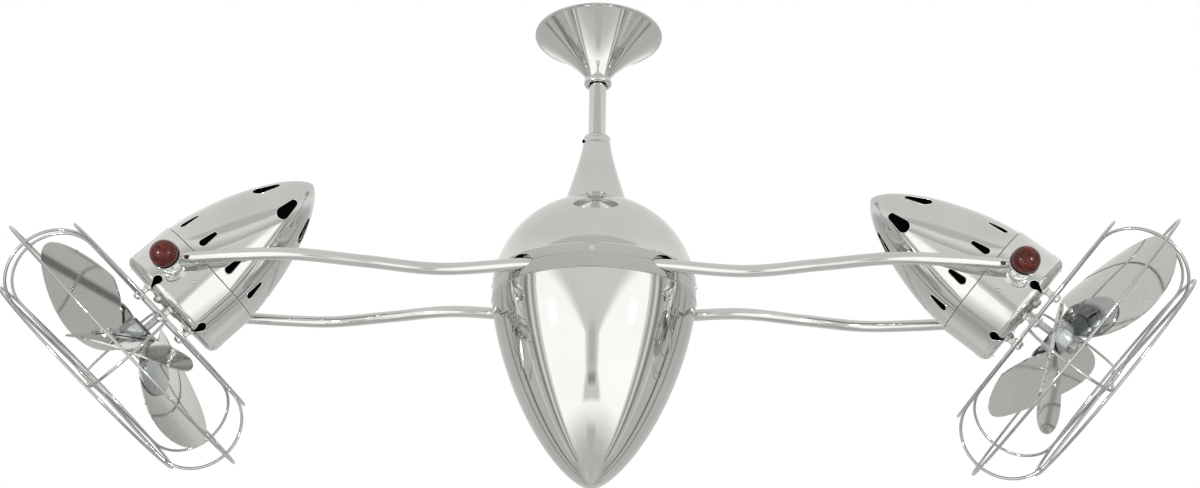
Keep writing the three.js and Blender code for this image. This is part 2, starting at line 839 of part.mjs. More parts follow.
function makeRearShell() {
  const seam = canRear - seat;
  const outer = sample(7, (t) => {
    const s = seam + (bulletTip - seam) * Math.sin((t * Math.PI) / 2);
    return [t === 1 ? 0 : bulletRadiusAt(s), s];
  });
  const innerTip = bulletTip + tipWalls * bulletWall;
  const inner = sample(3, (t) => {
    const s = innerTip + (seam - innerTip) * (1 - Math.cos((t * Math.PI) / 2));
    return [t === 0 ? 0 : bulletRadiusAt(s) - slantWalls * bulletWall, s];
  });
  const lipOuter = (canRadius - canWall - seat) * Math.cos(Math.PI / canSides) - bulletLipPlay;
  const lipInner = lipOuter - bulletWall;
  const lip = [[lipInner, seam], [lipInner, seam + bulletLipLength], [lipOuter, seam + bulletLipLength],
    [lipOuter, seam]];
  const shell = revolveHead([...inner.slice(0, -1), ...lip, ...outer], canSides);
  const deep = bulletRadius * slotCutDepth;
  const seamSlot = taperedSlot(seamSlotStart, seamSlotLength, seamSlotWidth, deep);
  const tipSlot = taperedSlot(tipSlotStart, tipSlotLength, tipSlotWidth, deep / 2);
  const slots = [...around(seamSlot, seamSlotCount, seamSlotTurn), ...around(tipSlot, tipSlotCount)];
  return cut(shell, slots);
}

function makeStator() {
  const length = statorFront - statorRear;
  const bore = clearOf(rotorRadius, running, statorTeeth);
  const shape = new THREE.Shape().absarc(0, 0, statorRadius, 0, 2 * Math.PI, false);
  const yoke = extrude(shape, length, 8);
  const slot = block(2 * statorSlotDepth, statorSlotWidth, length + 2 * past, bore, 0, length / 2);
  const hole = disc(bore, -past, length + past, statorTeeth);
  const laminated = cut(yoke, [hole, ...around(slot, statorTeeth)]);
  return laminated.translate([0, 0, -statorFront]);
}

function makeRotor() {
  const half = (statorFront - statorRear) / 2 - rotorCoreShort;
  const middle = (statorFront + statorRear) / 2;
  const shaftFront = hubCentreS + hubHalfLength + hubNutHeight + shaftPastNut;
  const core = revolveHead([[0, rotorShaftRear], [rotorShaftRadius, rotorShaftRear],
    [rotorShaftRadius, middle - half], [rotorRadius, middle - half], [rotorRadius, middle + half],
    [rotorShaftRadius, middle + half], [rotorShaftRadius, shaftFront], [0, shaftFront]], innerSides);
  return core;
}

const shaftBore = clearOf(rotorShaftRadius, running, innerSides);
const motorPostCircle = statorRadius - motorPostRadius - motorPostInset;

function makeFrontPlate() {
  const rear = canFront - frontPlateThickness;
  const plate = revolveHead([[shaftBore, rear + frontPlateThickness - frontBossLength],
    [frontBossRadius, rear + frontPlateThickness - frontBossLength], [frontBossRadius, rear],
    [frontPlateRadius, rear], [frontPlateRadius, canFront], [frontBossRadius, canFront],
    [shaftBore, canFront + frontBossRise]], rodSides);
  const standoffTop = ribRearS - eyeletThickness / 2 - seat;
  const standoff = disc(standoffRadius, -standoffTop, past - canFront, hexSides)
    .translate([ribRootRadius, 0, 0]);
  const post = disc(motorPostRadius, -rear - past, -statorFront - seat, hexSides)
    .translate([motorPostCircle, 0, 0]);
  const posts = around(post, motorPostCount, motorPostTurn);
  return union([plate, ...around(standoff, ribCount), ...posts]);
}

function makeRearBracket() {
  const front = statorRear - seat;
  const rear = front - rearBracketThickness;
  const boss = disc(rearBossRadius, -front, -rotorShaftRear - rearBossShort, innerSides);
  const bar = block(2 * statorRadius, rearBracketWidth, rearBracketThickness, 0, 0, -(front + rear) / 2);
  const bore = disc(shaftBore, -front - past, past - rotorShaftRear, innerSides);
  return union([boss, bar]).subtract(bore);
}

function makePivotBoss(side) {
  const outer = eyeInner - seat;
  const bore = disc(clearOf(studRadius, running, smallSides), studInner - running, outer + past, smallSides);
  const boss = disc(bossRadius, canRadius - bossDepth, outer, rodSides).subtract(bore);
  const laid = boss.rotate([side * -90, 0, 0]);
  return laid.subtract(disc(canRadius + seat, -2 * bossRadius, 2 * bossRadius, canSides));
}

const ribBend = (ribFrontS - ribRearS) / 2;
const ribBendCentre = ribReach - ribBend;
const guardMiddle = (ribFrontS + ribRearS) / 2;
const ribBendSpan = radians(50);
const ribBendSteps = 2;

// A line of straight runs through given points, for sweeps whose stations must lie exactly.
class Route extends THREE.Curve {
  constructor(points) {
    super();
    this.points = points;
  }

  getPoint(t) {
    const along = t * (this.points.length - 1);
    const index = Math.min(Math.floor(along), this.points.length - 2);
    return this.points[index].clone().lerp(this.points[index + 1], along - index);
  }

  getTangentAt(u) {
    const last = this.points.length - 1;
    const index = Math.round(u * last);
    const before = this.points[Math.max(index - 1, 0)];
    const after = this.points[Math.min(index + 1, last)];
    return after.clone().sub(before).normalize();
  }

  getSpacedPoints() {
    return this.points.map((point) => point.clone());
  }
}

// Angle round a rib's end where the rib reaches this distance from the head axis.
function bendAngleAt(radius) {
  return Math.acos((radius - ribBendCentre) / ribBend);
}

// Centre line of a rib: out along the back of the guard, round its edge and in along the front.
function ribRoute() {
  const rear = bendAngleAt(rearRingRadius);
  const front = bendAngleAt(frontRingRadius);
  const inner = sample(2 * ribBendSteps, (t) => ribBendSpan * (2 * t - 1));
  const angles = [-Math.PI / 2, -rear, ...inner, front, Math.PI / 2];
  const bend = angles.map((angle) => [
    ribBendCentre + ribBend * Math.cos(angle),
    guardMiddle + ribBend * Math.sin(angle),
  ]);
  const stations = [[ribRootRadius, ribRearS], ...bend, [badgeRingRadius, ribFrontS]];
  return new Route(stations.map(([r, station]) => new THREE.Vector3(r, 0, -station)));
}

// How far a hoop at this radius lies from the guard's middle, on the outside of the ribs.
function hoopOffset(radius) {
  return ribBend * Math.sin(bendAngleAt(radius)) + 2 * wireRadius - weld;
}

function makeGuard() {
  const route = ribRoute();
  const rib = sweep(route, wireRadius, wireSides, route.points.length - 1);
  const half = eyeletThickness / 2;
  const eyelet = disc(eyeletRadius, -ribRearS - half, half - ribRearS, hexSides)
    .translate([ribRootRadius, 0, 0]);
  const hoops = [
    wireRing(rearRingRadius, guardMiddle - hoopOffset(rearRingRadius), hoopSides),
    wireRing(ribReach + 2 * wireRadius - weld, guardMiddle, hoopSides),
    wireRing(frontRingRadius, guardMiddle + hoopOffset(frontRingRadius), hoopSides),
    wireRing(badgeRingRadius, ribFrontS, innerSides),
  ];
  return union([...hoops, ...around(rib.add(eyelet), ribCount)]);
}

function makeBadge() {
  const wireFlat = wireRadius * Math.cos(Math.PI / wireSides);
  const radius = badgeRingRadius - wireFlat - seat / Math.cos(Math.PI / innerSides);
  const rear = ribFrontS - badgeThickness / 2;
  const dome = sample(2, (t) => {
    const r = radius * Math.cos((t * Math.PI) / 2);
    return [r, rear + badgeThickness + badgeRise * t ** 2];
  });
  return revolveHead([[0, rear], [radius, rear], ...dome.slice(0, -1), [0, dome.at(-1)[1]]], innerSides);
}

// ---------------------------------------------------------------------------------------------
// Blades, their hub and its irons
// ---------------------------------------------------------------------------------------------

// A closed sheet of even thickness, curved across like the petal. It runs out along X from start
// to end and is half(t) wide either side of centre(t). Its upper face lies `drop` under the curve.
function sheet(start, end, centre, half, thickness, drop, columns, strips) {
  const positions = [];
  const faces = [];
  const row = strips + 1;
  const layer = (columns + 1) * row;
  [drop, drop + thickness].forEach((depth) => {
    sample(columns, (t) => {
      const eased = (1 - Math.cos(Math.PI * t)) / 2;
      sample(strips, (across) => {
        const y = centre(eased) + (2 * across - 1) * half(t === 1 ? 1 : eased);
        const z = -bladeCamber * ((y - petalOffset) / petalHalfWidth) ** 2 - depth;
        positions.push(start + (end - start) * eased, y, z);
      });
    });
  });
  const quad = (a, b, c, d) => faces.push(a, b, c, a, c, d);
  for (let i = 0; i < columns; i += 1) {
    for (let j = 0; j < strips; j += 1) {
      const a = i * row + j;
      quad(a, a + row, a + row + 1, a + 1);
      quad(layer + a, layer + a + 1, layer + a + row + 1, layer + a + row);
    }
    const near = i * row;
    const far = near + strips;
    quad(near, layer + near, layer + near + row, near + row);
    quad(far, far + row, layer + far + row, layer + far);
  }
  for (let j = 0; j < strips; j += 1) {
    const last = columns * row + j;
    quad(j, j + 1, layer + j + 1, layer + j);
    quad(last, layer + last, layer + last + 1, last + 1);
  }
  const geometry = new THREE.BufferGeometry();
  geometry.setAttribute('position', new THREE.Float32BufferAttribute(positions, 3));
  geometry.setIndex(faces);
  return toSolid(geometry);
}

// Petal outline: an ellipse cut square at the root.
function petalHalf(t) {
  const start = petalRoot - petalCentre;
  const along = (start + t * (petalHalfLength - start)) / petalHalfLength;
  return petalHalfWidth * Math.sqrt(Math.max(1 - along ** 2, 0));
}

// Iron's outline: slim at the hub, soon wide and then round at the end.
function ironHalf(t) {
  const shoulder = 0.35;
  const slim = 0.45;
  const ease = Math.sin((Math.PI / 2) * Math.min(t / shoulder, 1));
  if (t < shoulder) return ironHalfWidth * (slim + (1 - slim) * ease);
  return ironHalfWidth * Math.sqrt(Math.max(1 - ((t - shoulder) / (1 - shoulder)) ** 2, 0));
}

function onFan(solid, index, phase) {
  const skewed = solid.rotate([0, 0, -petalSkew]).rotate([bladePitch, 0, 0]);
  return turned(skewed, phase + (360 * index) / bladeCount).translate([0, 0, -fanPlaneS]);
}

function makeBlade(index, phase) {
  const tip = petalCentre + petalHalfLength;
  const blade = sheet(petalRoot, tip, () => petalOffset, petalHalf, bladeThickness, 0, 8, 4);
  return onFan(blade, index, phase);
}

function makeFanHub(phase) {
  const lean = (t) => -ironShift * t;
  const lift = ironGap + ironThickness;
  const iron = sheet(ironStart, ironEnd, lean, ironHalf, ironThickness, -lift, 5, 2);
  const rear = hubCentreS - hubHalfLength;
  const front = hubCentreS + hubHalfLength;
  const bore = clearOf(rotorShaftRadius, seat, innerSides);
  const hub = revolveHead([
    [bore, rear],
    [hubRadius - hubChamfer, rear],
    [hubRadius, rear + hubChamfer],
    [hubRadius, front - hubChamfer],
    [hubRadius - hubChamfer, front],
    [bore, front],
  ], innerSides);
  const irons = Array.from({ length: bladeCount }, (_, index) => onFan(iron, index, phase));
  return union([hub, ...irons]).subtract(disc(bore, -front - past, past - rear, innerSides));
}

function makeHubNut() {
  const rear = hubCentreS + hubHalfLength + seat;
  const corner = hubNutAcross / 2 / Math.cos(Math.PI / 6);
  const nut = disc(corner, -rear - hubNutHeight, -rear, hexSides);
  const bore = clearOf(rotorShaftRadius, seat, innerSides);
  return nut.subtract(disc(bore, -rear - hubNutHeight - past, past - rear, innerSides));
}

function makeKnob(side) {
  const geometry = new THREE.SphereGeometry(knobRadius, ballSides, ballRows);
  const ball = toSolid(geometry).rotate([90, 0, 0]).translate([0, 0, knobCentre]);
  const stud = disc(studRadius, studInner, knobCentre, smallSides);
  return ball.add(stud).rotate([side * -90, 0, 0]);
}

// ---------------------------------------------------------------------------------------------
// Assembly
// ---------------------------------------------------------------------------------------------

const fan = new THREE.Group();

const ceilingMount = new THREE.Group();
ceilingMount.add(part('hanger_bracket', makeHangerBracket(), finishes.zincSteel));
ceilingMount.add(part('hanger_bolt', makeHangerBolt(), finishes.zincSteel));
ceilingMount.add(part('hanger_bushing', makeHangerBushing(), finishes.rubber));
ceilingMount.add(part('canopy', makeCanopy(), finishes.chrome));
ceilingMount.add(part('canopy_collar', makeCanopyCollar(), finishes.chrome));
ceilingMount.add(part('downrod', makeDownrod(), finishes.chrome));
ceilingMount.add(part('neck_collar', makeNeckCollar(), finishes.chrome));
ceilingMount.add(part('spindle', makeSpindle(), finishes.bearingSteel));
const upperInnerRace = makeInnerRace(upperRaceTop, upperRaceHeight);
ceilingMount.add(part('upper_bearing_inner', upperInnerRace, finishes.bearingSteel));
const lowerInnerRace = makeInnerRace(lowerRaceTop, lowerRaceHeight);
ceilingMount.add(part('lower_bearing_inner', lowerInnerRace, finishes.bearingSteel));
ceilingMount.add(part('slip_ring_drum', makeSlipRingDrum(), finishes.phenolic));
ceilingMount.add(part('spindle_nut', makeSpindleNut(), finishes.zincSteel));
fan.add(ceilingMount);

const turret = new THREE.Group();
turret.add(part('upper_housing', makeUpperHousing(), finishes.chrome));
turret.add(part('housing_band', makeHousingBand(), finishes.chrome));
turret.add(part('lower_cover', makeLowerCover(), finishes.chrome));
turret.add(part('arm_carrier', makeArmCarrier(), finishes.satinSteel));
const upperOuterRace = makeOuterRace(upperRaceTop, upperRaceHeight, upperRaceOuterRadius);
turret.add(part('upper_bearing_outer', upperOuterRace, finishes.bearingSteel));
const lowerOuterRace = makeOuterRace(lowerRaceTop, lowerRaceHeight, lowerRaceOuterRadius);
turret.add(part('lower_bearing_outer', lowerOuterRace, finishes.bearingSteel));
turret.add(part('brush_holder', makeBrushHolder(), finishes.phenolic));
armSides.forEach(([sideX, sideY]) => {
  const name = `${sideX < 0 ? 'left' : 'right'}_${sideY < 0 ? 'front' : 'rear'}_arm`;
  turret.add(part(name, makeArm(sideX, sideY), finishes.chrome));
});
fan.add(turret);

function makeHead(name, sideX, tilt, phase) {
  const head = new THREE.Group();
  head.position.set(sideX * pivotReach, 0, armPlane);
  head.rotation.y = radians(-sideX * (90 - tilt));
  head.add(part(`${name}_motor_can`, makeMotorCan(), finishes.chrome));
  head.add(part(`${name}_rear_shell`, makeRearShell(), finishes.chrome));
  head.add(part(`${name}_stator`, makeStator(), finishes.laminations));
  head.add(part(`${name}_front_plate`, makeFrontPlate(), finishes.satinSteel));
  head.add(part(`${name}_rear_bracket`, makeRearBracket(), finishes.satinSteel));
  head.add(part(`${name}_guard`, makeGuard(), finishes.chrome));
  head.add(part(`${name}_guard_badge`, makeBadge(), finishes.chrome));
  [['front', -1], ['rear', 1]].forEach(([end, side]) => {
    head.add(part(`${name}_pivot_boss_${end}`, makePivotBoss(side), finishes.chrome));
    head.add(part(`${name}_knob_${end}`, makeKnob(side), finishes.mahogany));
  });
  head.add(part(`${name}_rotor`, makeRotor(), finishes.bearingSteel));
  head.add(part(`${name}_fan_hub`, makeFanHub(phase), finishes.satinSteel));
  head.add(part(`${name}_hub_nut`, makeHubNut(), finishes.zincSteel));
  for (let index = 0; index < bladeCount; index += 1) {
    head.add(part(`${name}_blade_${index + 1}`, makeBlade(index, phase), finishes.satinSteel));
  }
  return head;
}

fan.add(makeHead('left', -1, leftTilt, leftFanPhase));
fan.add(makeHead('right', 1, rightTilt, rightFanPhase));

export default fan;
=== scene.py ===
"""Twin head ceiling fan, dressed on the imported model. Sizes are in millimetres until mesh() makes
metres of them. Heads are drawn about their own axis, with the blades towards local -Z."""

import math

import bmesh
import bpy
from mathutils import Matrix, Vector


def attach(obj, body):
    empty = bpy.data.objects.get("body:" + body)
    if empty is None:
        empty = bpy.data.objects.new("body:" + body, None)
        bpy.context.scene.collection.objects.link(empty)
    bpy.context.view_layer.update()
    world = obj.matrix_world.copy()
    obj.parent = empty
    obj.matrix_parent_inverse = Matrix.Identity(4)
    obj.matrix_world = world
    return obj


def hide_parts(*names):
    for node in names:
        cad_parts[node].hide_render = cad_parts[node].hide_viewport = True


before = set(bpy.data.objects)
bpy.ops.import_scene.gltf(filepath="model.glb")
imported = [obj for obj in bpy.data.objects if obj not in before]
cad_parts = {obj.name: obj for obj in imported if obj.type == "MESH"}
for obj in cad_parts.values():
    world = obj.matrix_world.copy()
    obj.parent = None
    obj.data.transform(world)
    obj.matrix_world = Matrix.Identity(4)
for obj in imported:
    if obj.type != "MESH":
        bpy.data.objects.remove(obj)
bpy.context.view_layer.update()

# ------------------------------------------------------------------------------------------
# Sizes. They are the CAD model's, but for two: the ribs reach 0.3 mm less, so that their round
# wires stay inside its box, and the slots are 1 to 1.5 mm larger, because their edges are rolled.
# ------------------------------------------------------------------------------------------

ARM_PLANE = -313.8
PIVOT_X = 430
TILT = {"left": 46.3, "right": 40.5}
PHASE = {"left": 69.9, "right": 114.8}
SIDE = {"left": -1, "right": 1}

CANOPY_RIM, CANOPY_FOOT, CANOPY_HEIGHT, CANOPY_FLARE = 73, 13.4, 57, 1.32
ROD = 9.6
NECK_TOP, NECK_TOP_R, NECK_ROOT_R, NECK_FLARE = -141.8, 15.6, 35.5, 1.2
DOME_R, DOME_H, DOME_EDGE = 108, 104, -302.2
BAND_R, BAND_EDGE, BAND_GROOVE = 108, -326.7, -313.1
BELL_SPRING, BELL_TIP = -322, -525.9

BAND_SCREWS = -307.6

ARM_R, ARM_NECK_R, ARM_NECK_REACH, ARM_NECK_OVERLAP = 6.35, 4.2, 17, 4
EYE_R, EYE_INNER, EYE_OUTER, CUP_R, CUP_END = 11.4, 78, 97.2, 15.2, 95
ARM_END_X = PIVOT_X - EYE_R - ARM_NECK_REACH + ARM_NECK_OVERLAP
ARM_END_Y = (EYE_INNER + EYE_OUTER) / 2 - 2
KNOB_CENTRE, KNOB_R = 99.2, 14

CAN_R, CAN_REAR, CAN_FRONT, CAN_SHOULDER = 65.5, -24.7, 31, 9
BULLET_R, BULLET_TIP = 63.6, -171.3

# Openings of the shells: how many, the first one's angle, and for slots start, length and width.
VENTS = (6, 30)
NEAR_SLOTS, NEAR_SLOT = (10, 18), (-33.5, 22, 9)
FAR_SLOTS, FAR_SLOT = (6, 0), (-114, 28.5, 14.5)
CAN_SCREW_S, CAN_SCREW_ANGLE = -3.7, 23.5

WIRE, RIB_COUNT = 1.5, 6
RIB_REAR, RIB_FRONT, RIB_REACH, RIB_ROOT = 43.4, 138.3, 165.9, 36
REAR_RING, FRONT_RING, BADGE_RING = 128.8, 127.4, 24.5
RIB_BEND = (RIB_FRONT - RIB_REAR) / 2
BEND_CENTRE = RIB_REACH - RIB_BEND
GUARD_MIDDLE = (RIB_FRONT + RIB_REAR) / 2

FAN_S, HUB_S, BLADE_COUNT = 68.4, 74, 3
PETAL_CENTRE, PETAL_OFFSET, PETAL_LENGTH, PETAL_HALF, PETAL_ROOT = 75.6, 17.2, 74.7, 61.8, 26
PETAL_SKEW, BLADE_PITCH, BLADE_CAMBER, BLADE_T = 27.3, 32.5, 12.1, 1.4
IRON_START, IRON_END, IRON_HALF, IRON_SHIFT, IRON_T, IRON_GAP = 12, 68, 29, 14, 2, 0.5
RIVETS = ((27, 18), (30, -24), (55, -22))

# The mirrored room's radius and centre height, and the height of the floor.
ROOM, ROOM_CENTRE, FLOOR, FLOOR_HALF = 1250, -360, -2300, 6000

# ------------------------------------------------------------------------------------------
# Meshes
# ------------------------------------------------------------------------------------------


def mesh(name, points, faces, material, sharp=32, smooth=True):
    """An object from points in millimetres."""
    data = bpy.data.meshes.new(name)
    data.from_pydata([(x / 1000, y / 1000, z / 1000) for x, y, z in points], [], faces)
    data.validate()
    work = bmesh.new()
    work.from_mesh(data)
    bmesh.ops.recalc_face_normals(work, faces=work.faces)
    work.to_mesh(data)
    work.free()
    data.materials.append(material)
    obj = bpy.data.objects.new(name, data)
    bpy.context.scene.collection.objects.link(obj)
    if smooth:
        data.shade_smooth()
        data.set_sharp_from_angle(angle=math.radians(sharp))
    return obj


def revolve(name, profile, material, sides=128, sharp=32, closed=True):
    """Turns (radius, z) points about Z. Points on the axis become one point."""
    points, rows = [], []
    for r, z in profile:
        if r < 1e-6:
            rows.append([len(points)] * sides)
            points.append((0, 0, z))
            continue
        rows.append(list(range(len(points), len(points) + sides)))
        for i in range(sides):
            a = 2 * math.pi * i / sides
            points.append((r * math.cos(a), r * math.sin(a), z))
    faces = []
    count = len(rows)
    for k in range(count if closed else count - 1):
        low, high = rows[k], rows[(k + 1) % count]
        if low[0] == low[1] and high[0] == high[1]:
            continue
        for i in range(sides):
            j = (i + 1) % sides
            ring = [low[i], low[j], high[j], high[i]]
            kept = [v for n, v in enumerate(ring) if v not in ring[:n]]
            if len(kept) > 2:
                faces.append(kept)
    return mesh(name, points, faces, material, sharp)


def frames(path, closed):
    """Directions across a path that turn as little as they can."""
    count = len(path)
    tangents = []
    for i in range(count):
        a = path[(i - 1) % count] if closed or i > 0 else path[i]
        b = path[(i + 1) % count] if closed or i < count - 1 else path[i]
        tangents.append((b - a).normalized())
    across = tangents[0].orthogonal().normalized()
    result = []
    for i, tangent in enumerate(tangents):
        if i:
            across = tangents[i - 1].rotation_difference(tangent) @ across
        across = (across - tangent * across.dot(tangent)).normalized()
        result.append((across, tangent.cross(across)))
    return result


def tube(name, path, radius, material, sides=16, closed=False):
    """Sweeps a circle along points. radius may be a list, one for each point."""
    path = [Vector(p) for p in path]
    radii = radius if isinstance(radius, list) else [radius] * len(path)
    points, faces = [], []
    for (u, v), centre, r in zip(frames(path, closed), path, radii):
        for i in range(sides):
            a = 2 * math.pi * i / sides
            points.append(tuple(centre + u * (r * math.cos(a)) + v * (r * math.sin(a))))
    count = len(path)
    for k in range(count if closed else count - 1):
        low, high = k * sides, ((k + 1) % count) * sides
        for i in range(sides):
            j = (i + 1) % sides
            faces.append([low + i, low + j, high + j, high + i])
    if not closed:
        faces.append(list(range(sides)))
        faces.append(list(range((count - 1) * sides, count * sides)))
    return mesh(name, points, faces, material, 40)


def join(name, parts):
    """Joins objects, with their own places and materials, into one."""
    data = bpy.data.meshes.new(name)
    work = bmesh.new()
    slots = []
    for part in parts:
        for slot in part.data.materials:
            if slot not in slots:
                slots.append(slot)
    for part in parts:
        piece = part.data.copy()
        piece.transform(part.matrix_world)
        order = [slots.index(m) for m in part.data.materials]
        piece.polygons.foreach_set(
            "material_index", [order[p.material_index] for p in piece.polygons])
        work.from_mesh(piece)
        bpy.data.meshes.remove(piece)
        bpy.data.objects.remove(part)
    work.to_mesh(data)
    work.free()
    for slot in slots:
        data.materials.append(slot)
    obj = bpy.data.objects.new(name, data)
    bpy.context.scene.collection.objects.link(obj)
    return obj


def bored(shell, cutter):
    """Cuts one object from another and removes the cutter."""
    step = shell.modifiers.new("bore", "BOOLEAN")
    step.operation = "DIFFERENCE"
    step.solver = "EXACT"
    step.object = cutter
    shown = shell.evaluated_get(bpy.context.evaluated_depsgraph_get())
    data = bpy.data.meshes.new_from_object(shown)
    shell.modifiers.clear()
    shell.data = data
    bpy.data.objects.remove(cutter)
    return shell


def turned(obj, degrees, axis="Z"):
    obj.data.transform(Matrix.Rotation(math.radians(degrees), 4, axis))
    return obj


def moved(obj, x=0, y=0, z=0):
    obj.data.transform(Matrix.Translation((x / 1000, y / 1000, z / 1000)))
    return obj


def copies(obj, count, first=0):
    """Repeats an object about Z as one list, the first one turned by `first`."""
    out = []
    for k in range(count):
        twin = bpy.data.objects.new(f"{obj.name}_{k}", obj.data.copy())
        bpy.context.scene.collection.objects.link(twin)
        out.append(turned(twin, first + 360 * k / count))
    bpy.data.objects.remove(obj)
    return out


def analytic(obj, normal_at):
    """Gives a cut surface the normals of the round form that it was cut from."""
    data = obj.data
    data.shade_smooth()
    normals = []
    for face in data.polygons:
        for loop in face.loop_indices:
            point = data.vertices[data.loops[loop].vertex_index].co * 1000
            true = normal_at(point)
            if true is None or abs(true.dot(face.normal)) < 0.93:
                normals.append(face.normal.copy())
            else:
                normals.append(true if true.dot(face.normal) > 0 else -true)
    data.normals_split_custom_set(normals)
    return obj


# ------------------------------------------------------------------------------------------
# Materials
# ------------------------------------------------------------------------------------------


def material(name, color, metallic, roughness):
    mat = bpy.data.materials.new(name)
    mat.use_nodes = True
    shader = mat.node_tree.nodes["Principled BSDF"]
    shader.inputs["Base Color"].default_value = (*color, 1)
    shader.inputs["Metallic"].default_value = metallic
    shader.inputs["Roughness"].default_value = roughness
    return mat, mat.node_tree, shader


def noise(tree, scale, detail, stretch=(1, 1, 1), distortion=0.0):
    place = tree.nodes.new("ShaderNodeTexCoord")
    mapping = tree.nodes.new("ShaderNodeMapping")
    mapping.inputs["Scale"].default_value = stretch
    tree.links.new(place.outputs["Object"], mapping.inputs["Vector"])
    texture = tree.nodes.new("ShaderNodeTexNoise")
    texture.inputs["Scale"].default_value = scale
    texture.inputs["Detail"].default_value = detail
    texture.inputs["Distortion"].default_value = distortion
    tree.links.new(mapping.outputs["Vector"], texture.inputs["Vector"])
    return texture.outputs["Fac"]


def spread(tree, value, low, high):
    """Stretches the middle of a noise to a range."""
    ramp = tree.nodes.new("ShaderNodeMapRange")
    ramp.inputs["From Min"].default_value = 0.3
    ramp.inputs["From Max"].default_value = 0.7
    ramp.inputs["To Min"].default_value = low
    ramp.inputs["To Max"].default_value = high
    tree.links.new(value, ramp.inputs["Value"])
    return ramp.outputs["Result"]


def bump(tree, shader, value, strength, distance):
    node = tree.nodes.new("ShaderNodeBump")
    node.inputs["Strength"].default_value = strength
    node.inputs["Distance"].default_value = distance
    tree.links.new(value, node.inputs["Height"])
    tree.links.new(node.outputs["Normal"], shader.inputs["Normal"])


def tint(tree, shader, value, dark, light):
    """Colours a surface between two tones by a noise."""
    ramp = tree.nodes.new("ShaderNodeValToRGB")
    ramp.color_ramp.elements[0].position = 0.3
    ramp.color_ramp.elements[0].color = (*dark, 1)
    ramp.color_ramp.elements[1].position = 0.7
    ramp.color_ramp.elements[1].color = (*light, 1)
    tree.links.new(value, ramp.inputs["Fac"])
    tree.links.new(ramp.outputs["Color"], shader.inputs["Base Color"])


def metal(name, dark, light, rough, scale, stretch=(1, 1, 1), wave=0.0, grain=0.0):
    """Metal whose polish and colour vary a little over the surface."""
    mat, tree, shader = material(name, light, 1, rough)
    cloud = noise(tree, scale, 4, stretch)
    tint(tree, shader, cloud, dark, light)
    tree.links.new(spread(tree, cloud, rough * 0.7, rough * 1.5), shader.inputs["Roughness"])
    if wave:
        bump(tree, shader, noise(tree, 9, 1), wave, 0.004)
    elif grain:
        bump(tree, shader, noise(tree, scale * 6, 2, stretch), grain, 0.0004)
    return mat


def matt(name, dark, light, rough, scale, grain):
    """Rubber, plastic or shade, with a grain."""
    mat, tree, shader = material(name, light, 0, rough)
    cloud = noise(tree, scale, 4)
    tint(tree, shader, cloud, dark, light)
    tree.links.new(spread(tree, cloud, rough * 0.85, min(1, rough * 1.1)), shader.inputs["Roughness"])
    bump(tree, shader, noise(tree, scale * 5, 2), grain, 0.0005)
    return mat


def mahogany():
    """Dark figured wood under a thin varnish."""
    mat, tree, shader = material("mahogany", (0.2, 0.03, 0.02), 0, 0.3)
    shader.inputs["Specular IOR Level"].default_value = 0.15
    shader.inputs["Coat Weight"].default_value = 0.4
    shader.inputs["Coat Roughness"].default_value = 0.06
    grain = noise(tree, 90, 6, (1, 6, 1), 1.5)
    ramp = tree.nodes.new("ShaderNodeValToRGB")
    stops = ramp.color_ramp.elements
    stops[0].position, stops[0].color = 0.3, (0.006, 0.0015, 0.001, 1)
    stops[1].position, stops[1].color = 0.7, (0.18, 0.022, 0.014, 1)
    middle = stops.new(0.5)
    middle.color = (0.07, 0.0075, 0.005, 1)
    tree.links.new(grain, ramp.inputs["Fac"])
    tree.links.new(ramp.outputs["Color"], shader.inputs["Base Color"])
    tree.links.new(spread(tree, grain, 0.4, 0.25), shader.inputs["Roughness"])
    return mat


chrome = metal("chrome", (0.64, 0.647, 0.64), (0.70, 0.706, 0.698), 0.03, 14, wave=0.02)
bright = metal("bright_chrome", (0.76, 0.765, 0.755), (0.82, 0.825, 0.815), 0.05, 30, wave=0.01)
polished = metal("polished_blade", (0.58, 0.58, 0.56), (0.66, 0.66, 0.64), 0.07, 30, (1, 12, 12),
                 grain=0.02)
wire = metal("wire_chrome", (0.46, 0.47, 0.465), (0.56, 0.57, 0.565), 0.06, 40, grain=0.03)
satin = metal("satin_steel", (0.5, 0.5, 0.49), (0.62, 0.62, 0.61), 0.28, 40, grain=0.08)
iron_steel = metal("blade_iron", (0.34, 0.36, 0.36), (0.46, 0.48, 0.48), 0.08, 30, wave=0.03)
zinc = metal("zinc_steel", (0.42, 0.42, 0.40), (0.60, 0.60, 0.58), 0.35, 60, grain=0.1)
bearing = metal("bearing_steel", (0.4, 0.41, 0.42), (0.55, 0.56, 0.58), 0.2, 50, grain=0.05)
sheets = metal("laminations", (0.12, 0.12, 0.13), (0.25, 0.26, 0.27), 0.5, 80, (1, 1, 30),
               grain=0.3)
phenolic = matt("phenolic", (0.02, 0.012, 0.01), (0.05, 0.035, 0.03), 0.55, 90, 0.2)
rubber = matt("rubber", (0.012, 0.012, 0.012), (0.025, 0.025, 0.025), 0.8, 120, 0.3)
# Painted shade: a near-black, almost unreflecting material for the dark insides seen through the openings
# and for the notch of the collar's set screw.
painted_shade_black = matt("painted_shade_near_black", (0.0005, 0.0005, 0.0005), (0.002, 0.002, 0.002), 0.95, 60, 0.1)
painted_shade_black.node_tree.nodes["Principled BSDF"].inputs["Specular IOR Level"].default_value = 0.02
wood = mahogany()

# ------------------------------------------------------------------------------------------
# Ceiling mount
# ------------------------------------------------------------------------------------------


def lerp(a, b, t):
    return a + (b - a) * t


def steps(count):
    return [i / count for i in range(count + 1)]


def ogive(t):
    """The pointed outline of the bell and the bullets, 1 at their wide end and 0 at the tip."""
    return max(1 - t**1.5, 0) ** 0.66


def canopy_radius(z):
    t = min(max((CANOPY_HEIGHT + z) / CANOPY_HEIGHT, 0), 1)
    return CANOPY_FOOT + (CANOPY_RIM - CANOPY_FOOT) * t**CANOPY_FLARE


